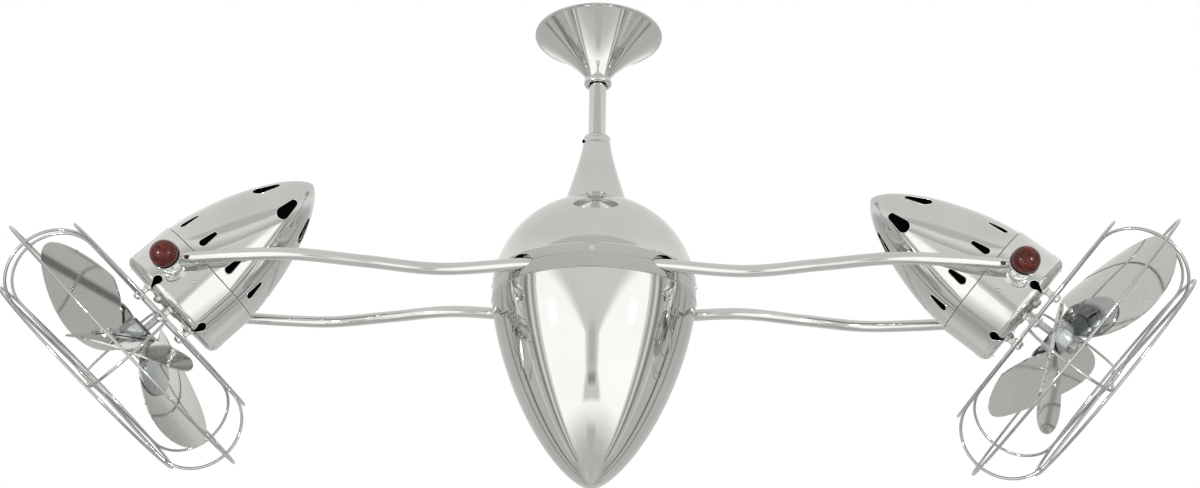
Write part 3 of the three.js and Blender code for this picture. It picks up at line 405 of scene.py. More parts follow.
def rounded(cx, cz, r, start, end, count=6):
    """Points on an arc from one angle to another, in degrees."""
    return [(cx + r * math.cos(math.radians(lerp(start, end, t))),
             cz + r * math.sin(math.radians(lerp(start, end, t)))) for t in steps(count)]


def make_canopy():
    outer = [(canopy_radius(z), z) for z in [lerp(-CANOPY_HEIGHT, -1.6, t) for t in steps(40)]]
    rim = rounded(CANOPY_RIM - 1.1, -0.95, 0.65, -40, 180, 8)
    inner = [(canopy_radius(z) - 2, z) for z in [lerp(-2.5, -CANOPY_HEIGHT + 3, t) for t in steps(12)]]
    return revolve("canopy_shell", outer + rim + inner, chrome, 160)


def make_canopy_collar():
    top = -CANOPY_HEIGHT - 0.3
    profile = ([(11.5, top), (13.6, top)] + rounded(13.2, top - 2.4, 2.3, 90, 10)
               + rounded(13.2, top - 4.9, 2.3, -10, -90) + [(11.5, top - 7.2)])
    return revolve("canopy_collar_ring", profile, chrome, 96)


def make_rod():
    return revolve("downrod_tube", [(7.8, -150), (ROD, -150), (ROD, -8), (7.8, -8)], chrome, 96)


def make_neck_collar():
    low = NECK_TOP + 0.3
    profile = ([(10, low), (14.6, low), (15.3, low + 0.6), (15.4, low + 1.4), (14.9, low + 2.2)]
               + [(14.9, low + 7.4)] + rounded(12.4, low + 8.4, 2.8, -20, 80)
               + [(11, low + 12), (10, low + 12)])
    collar = revolve("collar", profile, chrome, 96)
    # The set screw is near-black painted shade, for the dark notch at the collar.
    screw = revolve("set_screw", [(0, 0), (1.9, 0), (1.9, 1.4), (1.2, 1.9), (0.9, 1.2), (0, 1.2)],
                    painted_shade_black, 20)
    turned(screw, 90, "Y")
    angle = 196
    turned(screw, angle)
    a = math.radians(angle)
    moved(screw, 14.6 * math.cos(a), 14.6 * math.sin(a), low + 4.6)
    return join("neck_collar_ring", [collar, screw])


# ------------------------------------------------------------------------------------------
# Turret
# ------------------------------------------------------------------------------------------

NECK_ROOT = ARM_PLANE + DOME_H * math.sqrt(1 - (NECK_ROOT_R / DOME_R) ** 2)


def dome_point(angle, shrink=0.0):
    """A (radius, z) point of the dome's elliptic outline."""
    return ((DOME_R - shrink) * math.cos(angle), ARM_PLANE + (DOME_H - shrink) * math.sin(angle))


def make_upper_housing():
    neck = []
    for t in steps(30):
        z = lerp(NECK_TOP, NECK_ROOT, t)
        neck.append((NECK_TOP_R + (NECK_ROOT_R - NECK_TOP_R) * t**NECK_FLARE, z))
    top, low = math.acos(NECK_ROOT_R / DOME_R), math.asin((DOME_EDGE + 1.2 - ARM_PLANE) / DOME_H)
    dome = [dome_point(lerp(top, low, t)) for t in steps(48)]
    blend = neck[:-2] + dome[1:]
    edge_r = dome[-1][0]
    lip = rounded(edge_r - 0.5, DOME_EDGE + 0.6, 0.6, 20, -90, 4)
    inside = [(edge_r - 1.6, DOME_EDGE)] + [dome_point(lerp(low, top, t), 1.6) for t in steps(20)][1:]
    return revolve("upper_housing_shell", blend + lip + inside + [(10.2, NECK_TOP)], chrome, 192, 24)


def arm_path(side_x, side_y, count=80):
    """The arms' centre line: a smooth curve through the CAD model's stations."""
    crest_x, crest_y, fall_bulge, end_bulge = 300, 100.7, 4.2, 2.2
    stations = [(14, 86), (62, 80), (157, 63.2), (228.5, 81.95), (crest_x, crest_y),
                ((crest_x + ARM_END_X) / 2, (crest_y + ARM_END_Y) / 2 + fall_bulge),
                (ARM_END_X, ARM_END_Y + end_bulge)]
    return [Vector((side_x * x, side_y * y, ARM_PLANE)) for x, y in catmull(stations, count)]


def catmull(points, count):
    """Centripetal Catmull-Rom curve through (x, y) points."""
    ends = [tuple(2 * a - b for a, b in zip(points[0], points[1]))]
    ends.append(tuple(2 * a - b for a, b in zip(points[-1], points[-2])))
    line = [ends[0], *points, ends[1]]
    spans = len(points) - 1
    out = []
    for i in range(count + 1):
        along = i / count * spans
        k = min(int(along), spans - 1)
        p = [Vector(q) for q in line[k:k + 4]]
        knots = [0.0]
        for a, b in zip(p, p[1:]):
            knots.append(knots[-1] + (b - a).length ** 0.5)
        t = lerp(knots[1], knots[2], along - k)
        first = [p[n] * ((knots[n + 1] - t) / (knots[n + 1] - knots[n]))
                 + p[n + 1] * ((t - knots[n]) / (knots[n + 1] - knots[n])) for n in range(3)]
        second = [first[n] * ((knots[n + 2] - t) / (knots[n + 2] - knots[n]))
                  + first[n + 1] * ((t - knots[n]) / (knots[n + 2] - knots[n])) for n in range(2)]
        point = (second[0] * ((knots[2] - t) / (knots[2] - knots[1]))
                 + second[1] * ((t - knots[1]) / (knots[2] - knots[1])))
        out.append(tuple(point))
    return out


def make_band():
    """The band with the arms' openings, the near-black ring of painted shade behind it and its four screws.
    """
    groove = [(BAND_R, BAND_GROOVE - 0.8), (BAND_R - 0.8, BAND_GROOVE - 0.3),
              (BAND_R - 0.8, BAND_GROOVE + 0.3), (BAND_R, BAND_GROOVE + 0.8)]
    low_edge = rounded(BAND_R - 0.5, BAND_EDGE + 0.5, 0.5, -90, 0, 4)
    high_edge = rounded(BAND_R - 0.5, DOME_EDGE - 0.8, 0.5, 0, 90, 4)
    profile = [(BAND_R - 3, BAND_EDGE), *low_edge, *groove, *high_edge, (BAND_R - 3, DOME_EDGE - 0.3)]
    band = revolve("band", profile, chrome, 192)
    for side_x in (-1, 1):
        for side_y in (-1, 1):
            near_wall = arm_path(side_x, side_y)[12:32]
            path = [p + Vector((0, 0, 1.6)) for p in near_wall]
            band = bored(band, tube("opening", path, ARM_R + 2.3, painted_shade_black, 40))

    def normal(point):
        r = math.hypot(point.x, point.y)
        return Vector((point.x / r, point.y / r, 0))

    analytic(band, normal)
    # A near-black ring of painted shade behind the band, seen through the arms' openings.
    ring = [(BAND_R - 6, BAND_EDGE + 0.6), (BAND_R - 4.5, BAND_EDGE + 0.6),
            (BAND_R - 4.5, DOME_EDGE - 0.9), (BAND_R - 6, DOME_EDGE - 0.9)]
    painted_shade_ring = revolve("band_painted_shade_ring", ring, painted_shade_black, 96)
    screws = []
    for angle in (-90, 0, 90, 180):
        profile = [(0, 1.1), (1, 1.1), (1.2, 1.6), (2.2, 1.3), (2.8, 0.5), (2.9, 0), (0, 0)]
        head = revolve("screw", profile, bright, 32)
        turned(head, 90, "Y")
        moved(head, BAND_R - 0.2, 0, BAND_SCREWS)
        turned(head, angle)
        screws.append(head)
    return band, painted_shade_ring, join("housing_screws", screws)


def bell_radius(z):
    return BAND_R * ogive((BELL_SPRING - z) / (BELL_SPRING - BELL_TIP))


def make_lower_cover():
    top = BAND_EDGE - 0.3
    lip = rounded(bell_radius(top - 0.8) - 0.1, top - 0.8, 0.8, 90, -20, 5)
    outer = []
    for t in steps(90):
        z = top - 1.4 + (BELL_TIP - top + 1.4) * math.sin(t * math.pi / 2)
        outer.append((0 if t == 1 else bell_radius(z), z))
    outer = [(r, z) for r, z in outer if r == 0 or r > 0.4]
    inner = [(bell_radius(z) - 1.6, z) for z in (BELL_TIP + 60, -420, -360, top - 2)]
    profile = [*lip, *outer, (0, BELL_TIP + 4), *inner, (103, top)]
    return revolve("lower_cover_shell", profile, chrome, 192)


def make_arm(side_x, side_y):
    path = arm_path(side_x, side_y, 120)
    radii = [ARM_R] * len(path)
    start = path[-1]
    target = Vector((side_x * (PIVOT_X - EYE_R + 2), side_y * ARM_END_Y, ARM_PLANE))
    for t in steps(10)[1:]:
        path.append(start.lerp(target, t))
        radii.append(lerp(ARM_R, ARM_NECK_R, min(1, t * 1.25) ** 0.8))
    rod = tube("rod", path, radii, chrome, 48)
    eye = [(0, EYE_INNER), (EYE_R - 0.6, EYE_INNER), (EYE_R, EYE_INNER + 0.6), (EYE_R, 86.4),
           (EYE_R + 0.5, 88), (EYE_R + 2.0, 90.4), (EYE_R + 3.2, 91.8), (CUP_R - 0.1, 92.8),
           (CUP_R, 94.2), (CUP_R - 0.3, CUP_END), (CUP_R - 0.9, CUP_END)]
    dish = KNOB_R + 0.5
    floor = [(math.sqrt(dish**2 - (KNOB_CENTRE - z) ** 2), z) for z in (94.4, 91, 88, 86)]
    cup = revolve("eye", eye + floor + [(0, 85)], bright, 64)
    turned(cup, side_y * -90, "X")
    moved(cup, side_x * PIVOT_X, 0, ARM_PLANE)
    end = {-1: "front", 1: "rear"}[side_y]
    hand = {-1: "left", 1: "right"}[side_x]
    return join(f"{hand}_{end}_arm_tube", [rod, cup])


# ------------------------------------------------------------------------------------------
# Heads
# ------------------------------------------------------------------------------------------


def place_head(obj, side):
    """Moves a piece drawn about the head's axis to where the head hangs at rest."""
    turn = Matrix.Rotation(math.radians(-SIDE[side] * (90 - TILT[side])), 4, "Y")
    shift = Matrix.Translation((SIDE[side] * PIVOT_X / 1000, 0, ARM_PLANE / 1000))
    obj.data.transform(shift @ turn)
    return obj


def head_revolve(name, profile, mat, sides=128, sharp=32, closed=True):
    return revolve(name, [(r, -s) for r, s in profile], mat, sides, sharp, closed)


def outline_cutter(name, outline, inner, outer):
    """A prism along +X from a closed outline of (s, across) points."""
    count = len(outline)
    points = [(x, across, -s) for x in (inner, outer) for s, across in outline]
    faces = [list(range(count)), list(range(count, 2 * count))]
    faces += [[i, (i + 1) % count, count + (i + 1) % count, count + i] for i in range(count)]
    return mesh(name, points, faces, painted_shade_black, smooth=False)


def slot_outline(start, length, width, taper=0.6):
    """Round-ended taper, the wide end nearer the seam. Returns (s, across) points."""
    wide, narrow = width / 2, width / 2 * taper
    a, b = start - wide, start - length + narrow
    touch = math.acos((wide - narrow) / (a - b))
    points = [(a + wide * math.cos(q), wide * math.sin(q))
              for q in [lerp(-(math.pi - touch), math.pi - touch, t) for t in steps(14)]]
    points += [(b + narrow * math.cos(q), narrow * math.sin(q))
               for q in [lerp(math.pi - touch, math.pi + touch, t) for t in steps(8)]]
    return points


def vent_outline():
    """A keyhole, its round end to the rear. Returns (s, across) points."""
    r, s0, tail, half = 5.4, 21, 12, 1.9
    points = [(s0 - r * math.cos(q), r * math.sin(q)) for q in [lerp(-2.0, 2.0, t) for t in steps(18)]]
    side = [(lerp(s0 + 2.2, s0 + tail, t), lerp(4.9, half, min(1, t * 1.8) ** 0.7)) for t in steps(10)]
    return points + side + [(s, -y) for s, y in reversed(side)]


def rim(name, outline, radius_at, wire):
    """The bright rolled edge that runs round an opening."""
    path = [(math.sqrt(max(radius_at(s) ** 2 - y * y, 1)), y, -s) for s, y in outline]
    return tube(name, path, wire, bright, 8, closed=True)


def bullet_radius(s):
    if s > CAN_REAR:
        return BULLET_R
    return BULLET_R * ogive(min((CAN_REAR - s) / (CAN_REAR - BULLET_TIP), 1))


def can_radius(s):
    past = s - (CAN_FRONT - CAN_SHOULDER)
    if past <= 0:
        return CAN_R
    return CAN_R - CAN_SHOULDER + math.sqrt(max(CAN_SHOULDER**2 - past**2, 0))


def normals_of(radius_at):
    """Normals of a round shell for analytic(), and none for its walls and inner face."""
    def normal(point):
        r = math.hypot(point.x, point.y)
        s = -point.z
        if r < 1 or abs(r - radius_at(s)) > 0.6:
            return None
        slope = (radius_at(s + 0.05) - radius_at(s - 0.05)) / 0.1
        return Vector((point.x / r, point.y / r, slope)).normalized()

    return normal


def make_can(side):
    bend_r, bend_s = CAN_R - CAN_SHOULDER, CAN_FRONT - CAN_SHOULDER
    outer = [(CAN_R - 0.5, CAN_REAR), (CAN_R, CAN_REAR + 0.5)]
    outer += [(CAN_R, lerp(CAN_REAR + 2, bend_s, t)) for t in steps(14)]
    outer += [(bend_r + CAN_SHOULDER * math.sin(a), bend_s + CAN_SHOULDER * math.cos(a))
              for a in [lerp(math.pi / 2, 0, t) for t in steps(14)]][1:]
    inner = [(44.4, CAN_FRONT), (44.4, CAN_FRONT - 1.5), (54, CAN_FRONT - 1.5), (61, CAN_FRONT - 5),
             (64, CAN_FRONT - 12), (64, CAN_REAR)]
    can = head_revolve("can", outer + inner, chrome, 192)
    cutters = copies(outline_cutter("vent", vent_outline(), 46, CAN_R + 2), *VENTS)
    can = bored(can, join("vents", cutters))
    analytic(can, normals_of(can_radius))
    rims = copies(rim("vent_rim", vent_outline(), can_radius, 0.45), *VENTS)
    profile = [(0, CAN_R - 0.8), (2.3, CAN_R - 0.8), (2.3, CAN_R + 0.2), (1.6, CAN_R + 0.9),
               (0.7, CAN_R + 1.1), (0.5, CAN_R + 0.5), (0, CAN_R + 0.4)]
    screw = revolve("can_screw", profile, zinc, 20)
    turned(screw, 90, "Y")
    moved(screw, z=-CAN_SCREW_S)
    turned(screw, -90 - SIDE[side] * CAN_SCREW_ANGLE)
    rims += copies(screw, 2)
    can = join(f"{side}_can_shell", [can, *rims])
    return place_head(can, side)


def make_rear_shell(side):
    seam = CAN_REAR - 0.3
    outer = [(62.6, seam), (bullet_radius(seam - 0.6) - 0.1, seam - 0.5)]
    for t in steps(70):
        s = seam - 0.8 + (BULLET_TIP - seam + 0.8) * math.sin(t * math.pi / 2)
        outer.append((0 if t == 1 else bullet_radius(s), s))
    outer = [(r, s) for r, s in outer if r == 0 or r > 0.4]
    inner = [(max(bullet_radius(s) - 1.8, 0), s)
             for s in [lerp(BULLET_TIP + 6, seam, t) for t in steps(24)]]
    inner[0] = (0, BULLET_TIP + 6)
    shell = head_revolve("bullet", outer + inner, chrome, 192)
    near, far = slot_outline(*NEAR_SLOT), slot_outline(*FAR_SLOT)
    cutters = copies(outline_cutter("near", near, 30, 70), *NEAR_SLOTS)
    cutters += copies(outline_cutter("far", far, 8, 60), *FAR_SLOTS)
    shell = bored(shell, join("slots", cutters))
    analytic(shell, normals_of(bullet_radius))
    rims = copies(rim("near_rim", near, bullet_radius, 0.45), *NEAR_SLOTS)
    rims += copies(rim("far_rim", far, bullet_radius, 0.5), *FAR_SLOTS)
    shell = join(f"{side}_bullet_shell", [shell, *rims])
    return place_head(shell, side)


def make_painted_shade_liner(side):
    """A near-black sheet of painted shade inside both shells, so that the openings look into shade."""
    can = [(0, 27), (50, 27), (60.5, 20), (62.2, 10), (62.2, -24)]
    cone = [(max(bullet_radius(s) - 3.5, 0.1), s)
            for s in [lerp(-26, BULLET_TIP + 14, t) for t in steps(20)]]
    profile = [*can, *cone, (0, BULLET_TIP + 12)]
    return place_head(head_revolve(f"{side}_lining", profile, painted_shade_black, 96, closed=False), side)


def make_front_plate(side):
    disc = [(4.6, 19), (10, 19), (10, 28), (43.9, 28), (44, 30), (43, 31), (24, 31), (22, 32.4),
            (14, 32.4), (11, 34), (4.6, 34)]
    pillar = [(0, 30), (4, 30), (4, 33), (2.6, 34), (2.6, 38.8), (3.8, 39.4), (3.8, 41.4), (0, 41.4)]
    cap = [(0, 31), (4.2, 31), (4.2, 34), (3, 35.5), (1.6, 36.4), (0, 36.6)]
    parts = [head_revolve("plate", disc, satin, 96)]
    for k in range(RIB_COUNT):
        a = math.radians(360 / RIB_COUNT * k)
        post = head_revolve("post", pillar, bright, 24)
        parts.append(moved(post, RIB_ROOT * math.cos(a), RIB_ROOT * math.sin(a)))
    for k in range(3):
        a = math.radians(120 * k + 30)
        nut = head_revolve("nut", cap, zinc, 6)
        parts.append(moved(nut, 29 * math.cos(a), 29 * math.sin(a)))
    return place_head(join(f"{side}_front_plate_dressed", parts), side)


def make_guard(side):
    """Six bent ribs with their eyelets and acorn nuts, and four hoops."""
    parts = []
    front_angle = math.acos((FRONT_RING - BEND_CENTRE) / RIB_BEND)
    rear_angle = math.acos((REAR_RING - BEND_CENTRE) / RIB_BEND)
    path = [(RIB_ROOT, 0, -RIB_REAR), (70, 0, -RIB_REAR), (105, 0, -RIB_REAR)]
    for t in steps(36):
        a = lerp(-math.pi / 2, math.pi / 2, t)
        bend_s = GUARD_MIDDLE + RIB_BEND * math.sin(a)
        path.append((BEND_CENTRE + RIB_BEND * math.cos(a), 0, -bend_s))
    path += [(105, 0, -RIB_FRONT), (60, 0, -RIB_FRONT), (BADGE_RING + 0.8, 0, -RIB_FRONT)]
    foot = RIB_REAR + WIRE
    ring = [(2.6, RIB_REAR - WIRE), (6.4, RIB_REAR - WIRE), (6.4, foot), (2.6, foot)]
    cap = [(0, foot), (3.6, foot), (3.6, foot + 1.7), (2.6, foot + 3.3), (1.2, foot + 4.1), (0, foot + 4.3)]
    for k in range(RIB_COUNT):
        rib = tube("rib", path, WIRE, wire, 14)
        eyelet = moved(head_revolve("eyelet", ring, chrome, 32), RIB_ROOT)
        nut = moved(head_revolve("acorn", cap, bright, 20), RIB_ROOT)
        parts += [turned(piece, 360 / RIB_COUNT * k) for piece in (rib, eyelet, nut)]

    def hoop(r, s):
        angles = [2 * math.pi * i / 180 for i in range(180)]
        path = [(r * math.cos(a), r * math.sin(a), -s) for a in angles]
        parts.append(tube("hoop", path, WIRE, wire, 12, closed=True))

    hoop(REAR_RING, GUARD_MIDDLE - RIB_BEND * math.sin(rear_angle) - 2)
    hoop(FRONT_RING, GUARD_MIDDLE + RIB_BEND * math.sin(front_angle) + 2)
    hoop(RIB_REACH + 1.2, GUARD_MIDDLE)
    hoop(BADGE_RING, RIB_FRONT)
    return place_head(join(f"{side}_guard_wires", parts), side)


def make_badge(side):
    r = BADGE_RING - 1.7
    rear = RIB_FRONT - 1
    profile = [(0, rear), (r - 0.6, rear), (r, rear + 0.6), (r, rear + 1.6), (r - 0.8, rear + 2.3)]
    profile += [(lerp(r - 2, 0, t), rear + 2.2 + 2.6 * math.sin(t * math.pi / 2)) for t in steps(16)]
    return place_head(head_revolve(f"{side}_badge_disc", profile, chrome, 96), side)


def make_boss(side, end):
    sign = {"front": -1, "rear": 1}[end]
    profile = [(0, 60), (12, 60), (12, 73), (11.4, 74.2), (10.2, 74.8), (10.2, 77.2), (0, 77.2)]
    boss = revolve(f"{side}_boss_{end}", profile, bright, 64)
    turned(boss, sign * -90, "X")
    return place_head(boss, side)


def make_knob(side, end):
    sign = {"front": -1, "rear": 1}[end]
    profile = [(KNOB_R * math.sin(a), KNOB_CENTRE - KNOB_R * math.cos(a))
               for a in [lerp(0.3, math.pi, t) for t in steps(40)]]
    profile[-1] = (0, KNOB_CENTRE + KNOB_R)
    ball = revolve("ball", profile, wood, 96)
    stud = revolve("stud", [(0, 69), (4.4, 69), (4.9, 69.6), (4.9, 88), (0, 88)], zinc, 32)
    knob = join(f"{side}_{end}_ball_knob", [ball, stud])
    turned(knob, sign * -90, "X")
    return place_head(knob, side)


# ------------------------------------------------------------------------------------------
# Fans
# ------------------------------------------------------------------------------------------


def petal_half(t):
    """Half the width of a petal, from its root at 0 to its tip at 1."""
    start = PETAL_ROOT - PETAL_CENTRE
    along = (start + t * (PETAL_LENGTH - start)) / PETAL_LENGTH
    return PETAL_HALF * math.sqrt(max(1 - along**2, 0))


def iron_half(t):
    """Half the width of a blade iron: a slim root that swells to a round tongue."""
    shoulder, slim = 0.35, 0.45
    if t < shoulder:
        return IRON_HALF * (slim + (1 - slim) * math.sin(math.pi / 2 * t / shoulder))
    return IRON_HALF * math.sqrt(max(1 - ((t - shoulder) / (1 - shoulder)) ** 2, 0))


def petal_height(y):
    """The camber, by distance across the petal."""
    return -BLADE_CAMBER * ((y - PETAL_OFFSET) / PETAL_HALF) ** 2


def sheet(name, start, end, centre, half, thick, drop, mat, columns, strips):
    """A curved sheet along X, drawn like the CAD model's."""
    points, faces = [], []
    row = strips + 1
    for depth in (drop, drop + thick):
        for t in steps(columns):
            eased = (1 - math.cos(math.pi * t)) / 2
            for j in range(row):
                y = centre(eased) + (2 * j / strips - 1) * half(eased)
                points.append((lerp(start, end, eased), y, petal_height(y) - depth))
    layer = (columns + 1) * row
    for i in range(columns):
        for j in range(strips):
            a = i * row + j
            faces.append([a, a + row, a + row + 1, a + 1])
            faces.append([layer + a, layer + a + 1, layer + a + row + 1, layer + a + row])
        for j in (0, strips):
            a = i * row + j
            faces.append([a, a + row, layer + a + row, layer + a])
    for i in (0, columns):
        for j in range(strips):
            a = i * row + j
            faces.append([a, a + 1, layer + a + 1, layer + a])
    return mesh(name, points, faces, mat, 40)


def on_fan(obj, side, index):
    """Pitches a piece of one blade and turns it to its place on the fan."""
    turned(obj, -PETAL_SKEW)
    turned(obj, BLADE_PITCH, "X")
    turned(obj, PHASE[side] + 360 * index / BLADE_COUNT)
    return moved(obj, 0, 0, -FAN_S)


def rivet(x, y):
    """Two round heads, one on the iron and one on the far face of the blade."""
    profile, sunk = [(0, 0), (3.1, 0), (3.0, 0.5), (2.4, 1.3), (1.4, 1.8), (0, 2)], 0.2
    head = revolve("rivet", profile, bright, 24)
    twin = turned(revolve("rivet", profile, bright, 24), 180, "X")
    moved(head, x, y, petal_height(y) + IRON_GAP + IRON_T - sunk)
    moved(twin, x, y, petal_height(y) - BLADE_T + sunk)
    return [head, twin]


def make_blade(side, index):
    blade = sheet("petal", PETAL_ROOT, PETAL_CENTRE + PETAL_LENGTH, lambda t: PETAL_OFFSET, petal_half,
                  BLADE_T, 0, polished, 56, 20)
    blade.name = f"{side}_petal_{index + 1}"
    return place_head(on_fan(blade, side, index), side)


def make_fan_hub(side):
    parts = []
    for index in range(BLADE_COUNT):
        iron = sheet("iron", IRON_START, IRON_END, lambda t: -IRON_SHIFT * t, iron_half, IRON_T,
                     -IRON_GAP - IRON_T, iron_steel, 36, 12)
        group = [iron]
        for x, y in RIVETS:
            group += rivet(x, y)
        parts += [on_fan(piece, side, index) for piece in group]
    profile = [(4.4, HUB_S - 12), (16, HUB_S - 12), (19, HUB_S - 9), (19, HUB_S + 6),
               (17.5, HUB_S + 9.5), (13.5, HUB_S + 11.6), (8, HUB_S + 12), (4.4, HUB_S + 12)]
    parts.append(head_revolve("hub", profile, iron_steel, 96))
    return place_head(join(f"{side}_hub_and_irons", parts), side)


def make_nut(side):
    s = HUB_S + 12.3
    profile = [(0, s), (8.1, s), (8.1, s + 4.6), (6.6, s + 6), (0, s + 6)]
    return place_head(head_revolve(f"{side}_nut_dressed", profile, zinc, 6, 20), side)


def make_rotor(side):
    pin = [(0, -27), (4, -27), (4, HUB_S + 19), (3, HUB_S + 20), (0, HUB_S + 20)]
    shaft = head_revolve("shaft", pin, bearing, 32)
    core = head_revolve("core", [(4, -12.5), (23, -12.5), (23, 9.5), (4, 9.5)], sheets, 64)
    return place_head(join(f"{side}_rotor_dressed", [shaft, core]), side)


# ------------------------------------------------------------------------------------------
# Assembly
# ------------------------------------------------------------------------------------------


def dress(piece, body, slot, *nodes):
    """Puts a piece on its body, and in the place of the CAD nodes that it stands for."""
    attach(piece, body)
    if nodes:
        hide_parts(*nodes)


def camera():
    """The photo's camera, as fitted to its outlines."""
    data = bpy.data.cameras.new("camera")
    data.sensor_width = 36
    data.lens = 42.478
    data.clip_end = 100
    pitch, roll, yaw = 0.3993, 0.01623, -0.0232
    ahead = Vector((math.sin(yaw) * math.cos(pitch), math.cos(yaw) * math.cos(pitch), math.sin(pitch)))
    level = Vector((math.cos(yaw), -math.sin(yaw), 0))
    above = level.cross(ahead)
    right = level * math.cos(roll) + above * math.sin(roll)
    up = above * math.cos(roll) - level * math.sin(roll)
    matrix = Matrix((right, up, -ahead)).transposed().to_4x4()
    matrix.translation = Vector((0.037914, -1.404212, -0.85101))
    obj = bpy.data.objects.new("camera", data)
    obj.matrix_world = matrix
    bpy.context.scene.collection.objects.link(obj)
    bpy.context.scene.camera = obj


def blend(tree, mask, first, second, out):
    """Shows one shader, and another where the mask is 1."""
    mix = tree.nodes.new("ShaderNodeMixShader")
    tree.links.new(mask, mix.inputs["Fac"])
    tree.links.new(first.outputs[0], mix.inputs[1])
    tree.links.new(second.outputs[0], mix.inputs[2])
    tree.links.new(mix.outputs[0], out)


def backdrop():
    """White for the camera, and plain light from all sides for the fan."""
    world = bpy.data.worlds.new("studio")
    bpy.context.scene.world = world
    world.use_nodes = True
    tree = world.node_tree
    light = tree.nodes["Background"]
    light.inputs["Color"].default_value = (0.85, 0.85, 0.85, 1)
    white = tree.nodes.new("ShaderNodeBackground")
    white.inputs["Color"].default_value = (1, 1, 1, 1)
    path = tree.nodes.new("ShaderNodeLightPath")
    blend(tree, path.outputs["Is Camera Ray"], light, white, tree.nodes["World Output"].inputs["Surface"])


# Brightness of the room's parts by height, as (degrees above the horizon, level).
SIDES = ((-60, 0.5), (-90, 0.78), (-48, 0.6), (-8, 0.6), (17, 0.55), (22, 0.62), (30, 0.95), (46, 0.8))
REAR = ((-60, 0.66), (-90, 0.78), (-32, 0.78), (-20, 0.66), (18, 0.66), (30, 0.94), (46, 0.8))
PANEL = ((-70, 0.6), (-90, 0.78), (-58, 0.72), (-50, 1.0), (-41, 1.4), (17, 1.4), (19, 0.62),
         (22, 0.62), (30, 0.95), (46, 0.8))
# Thin upright bands at the room's sides, as (degrees around from, to, level).
BANDS = ((62, 64, 0.85), (66, 68, 0.45), (70, 72, 1.0), (74, 78, 0.3), (84, 88, 0.75), (104, 108, 0.2),
         (117, 121, 0.35))
DEGREE = math.degrees(1)


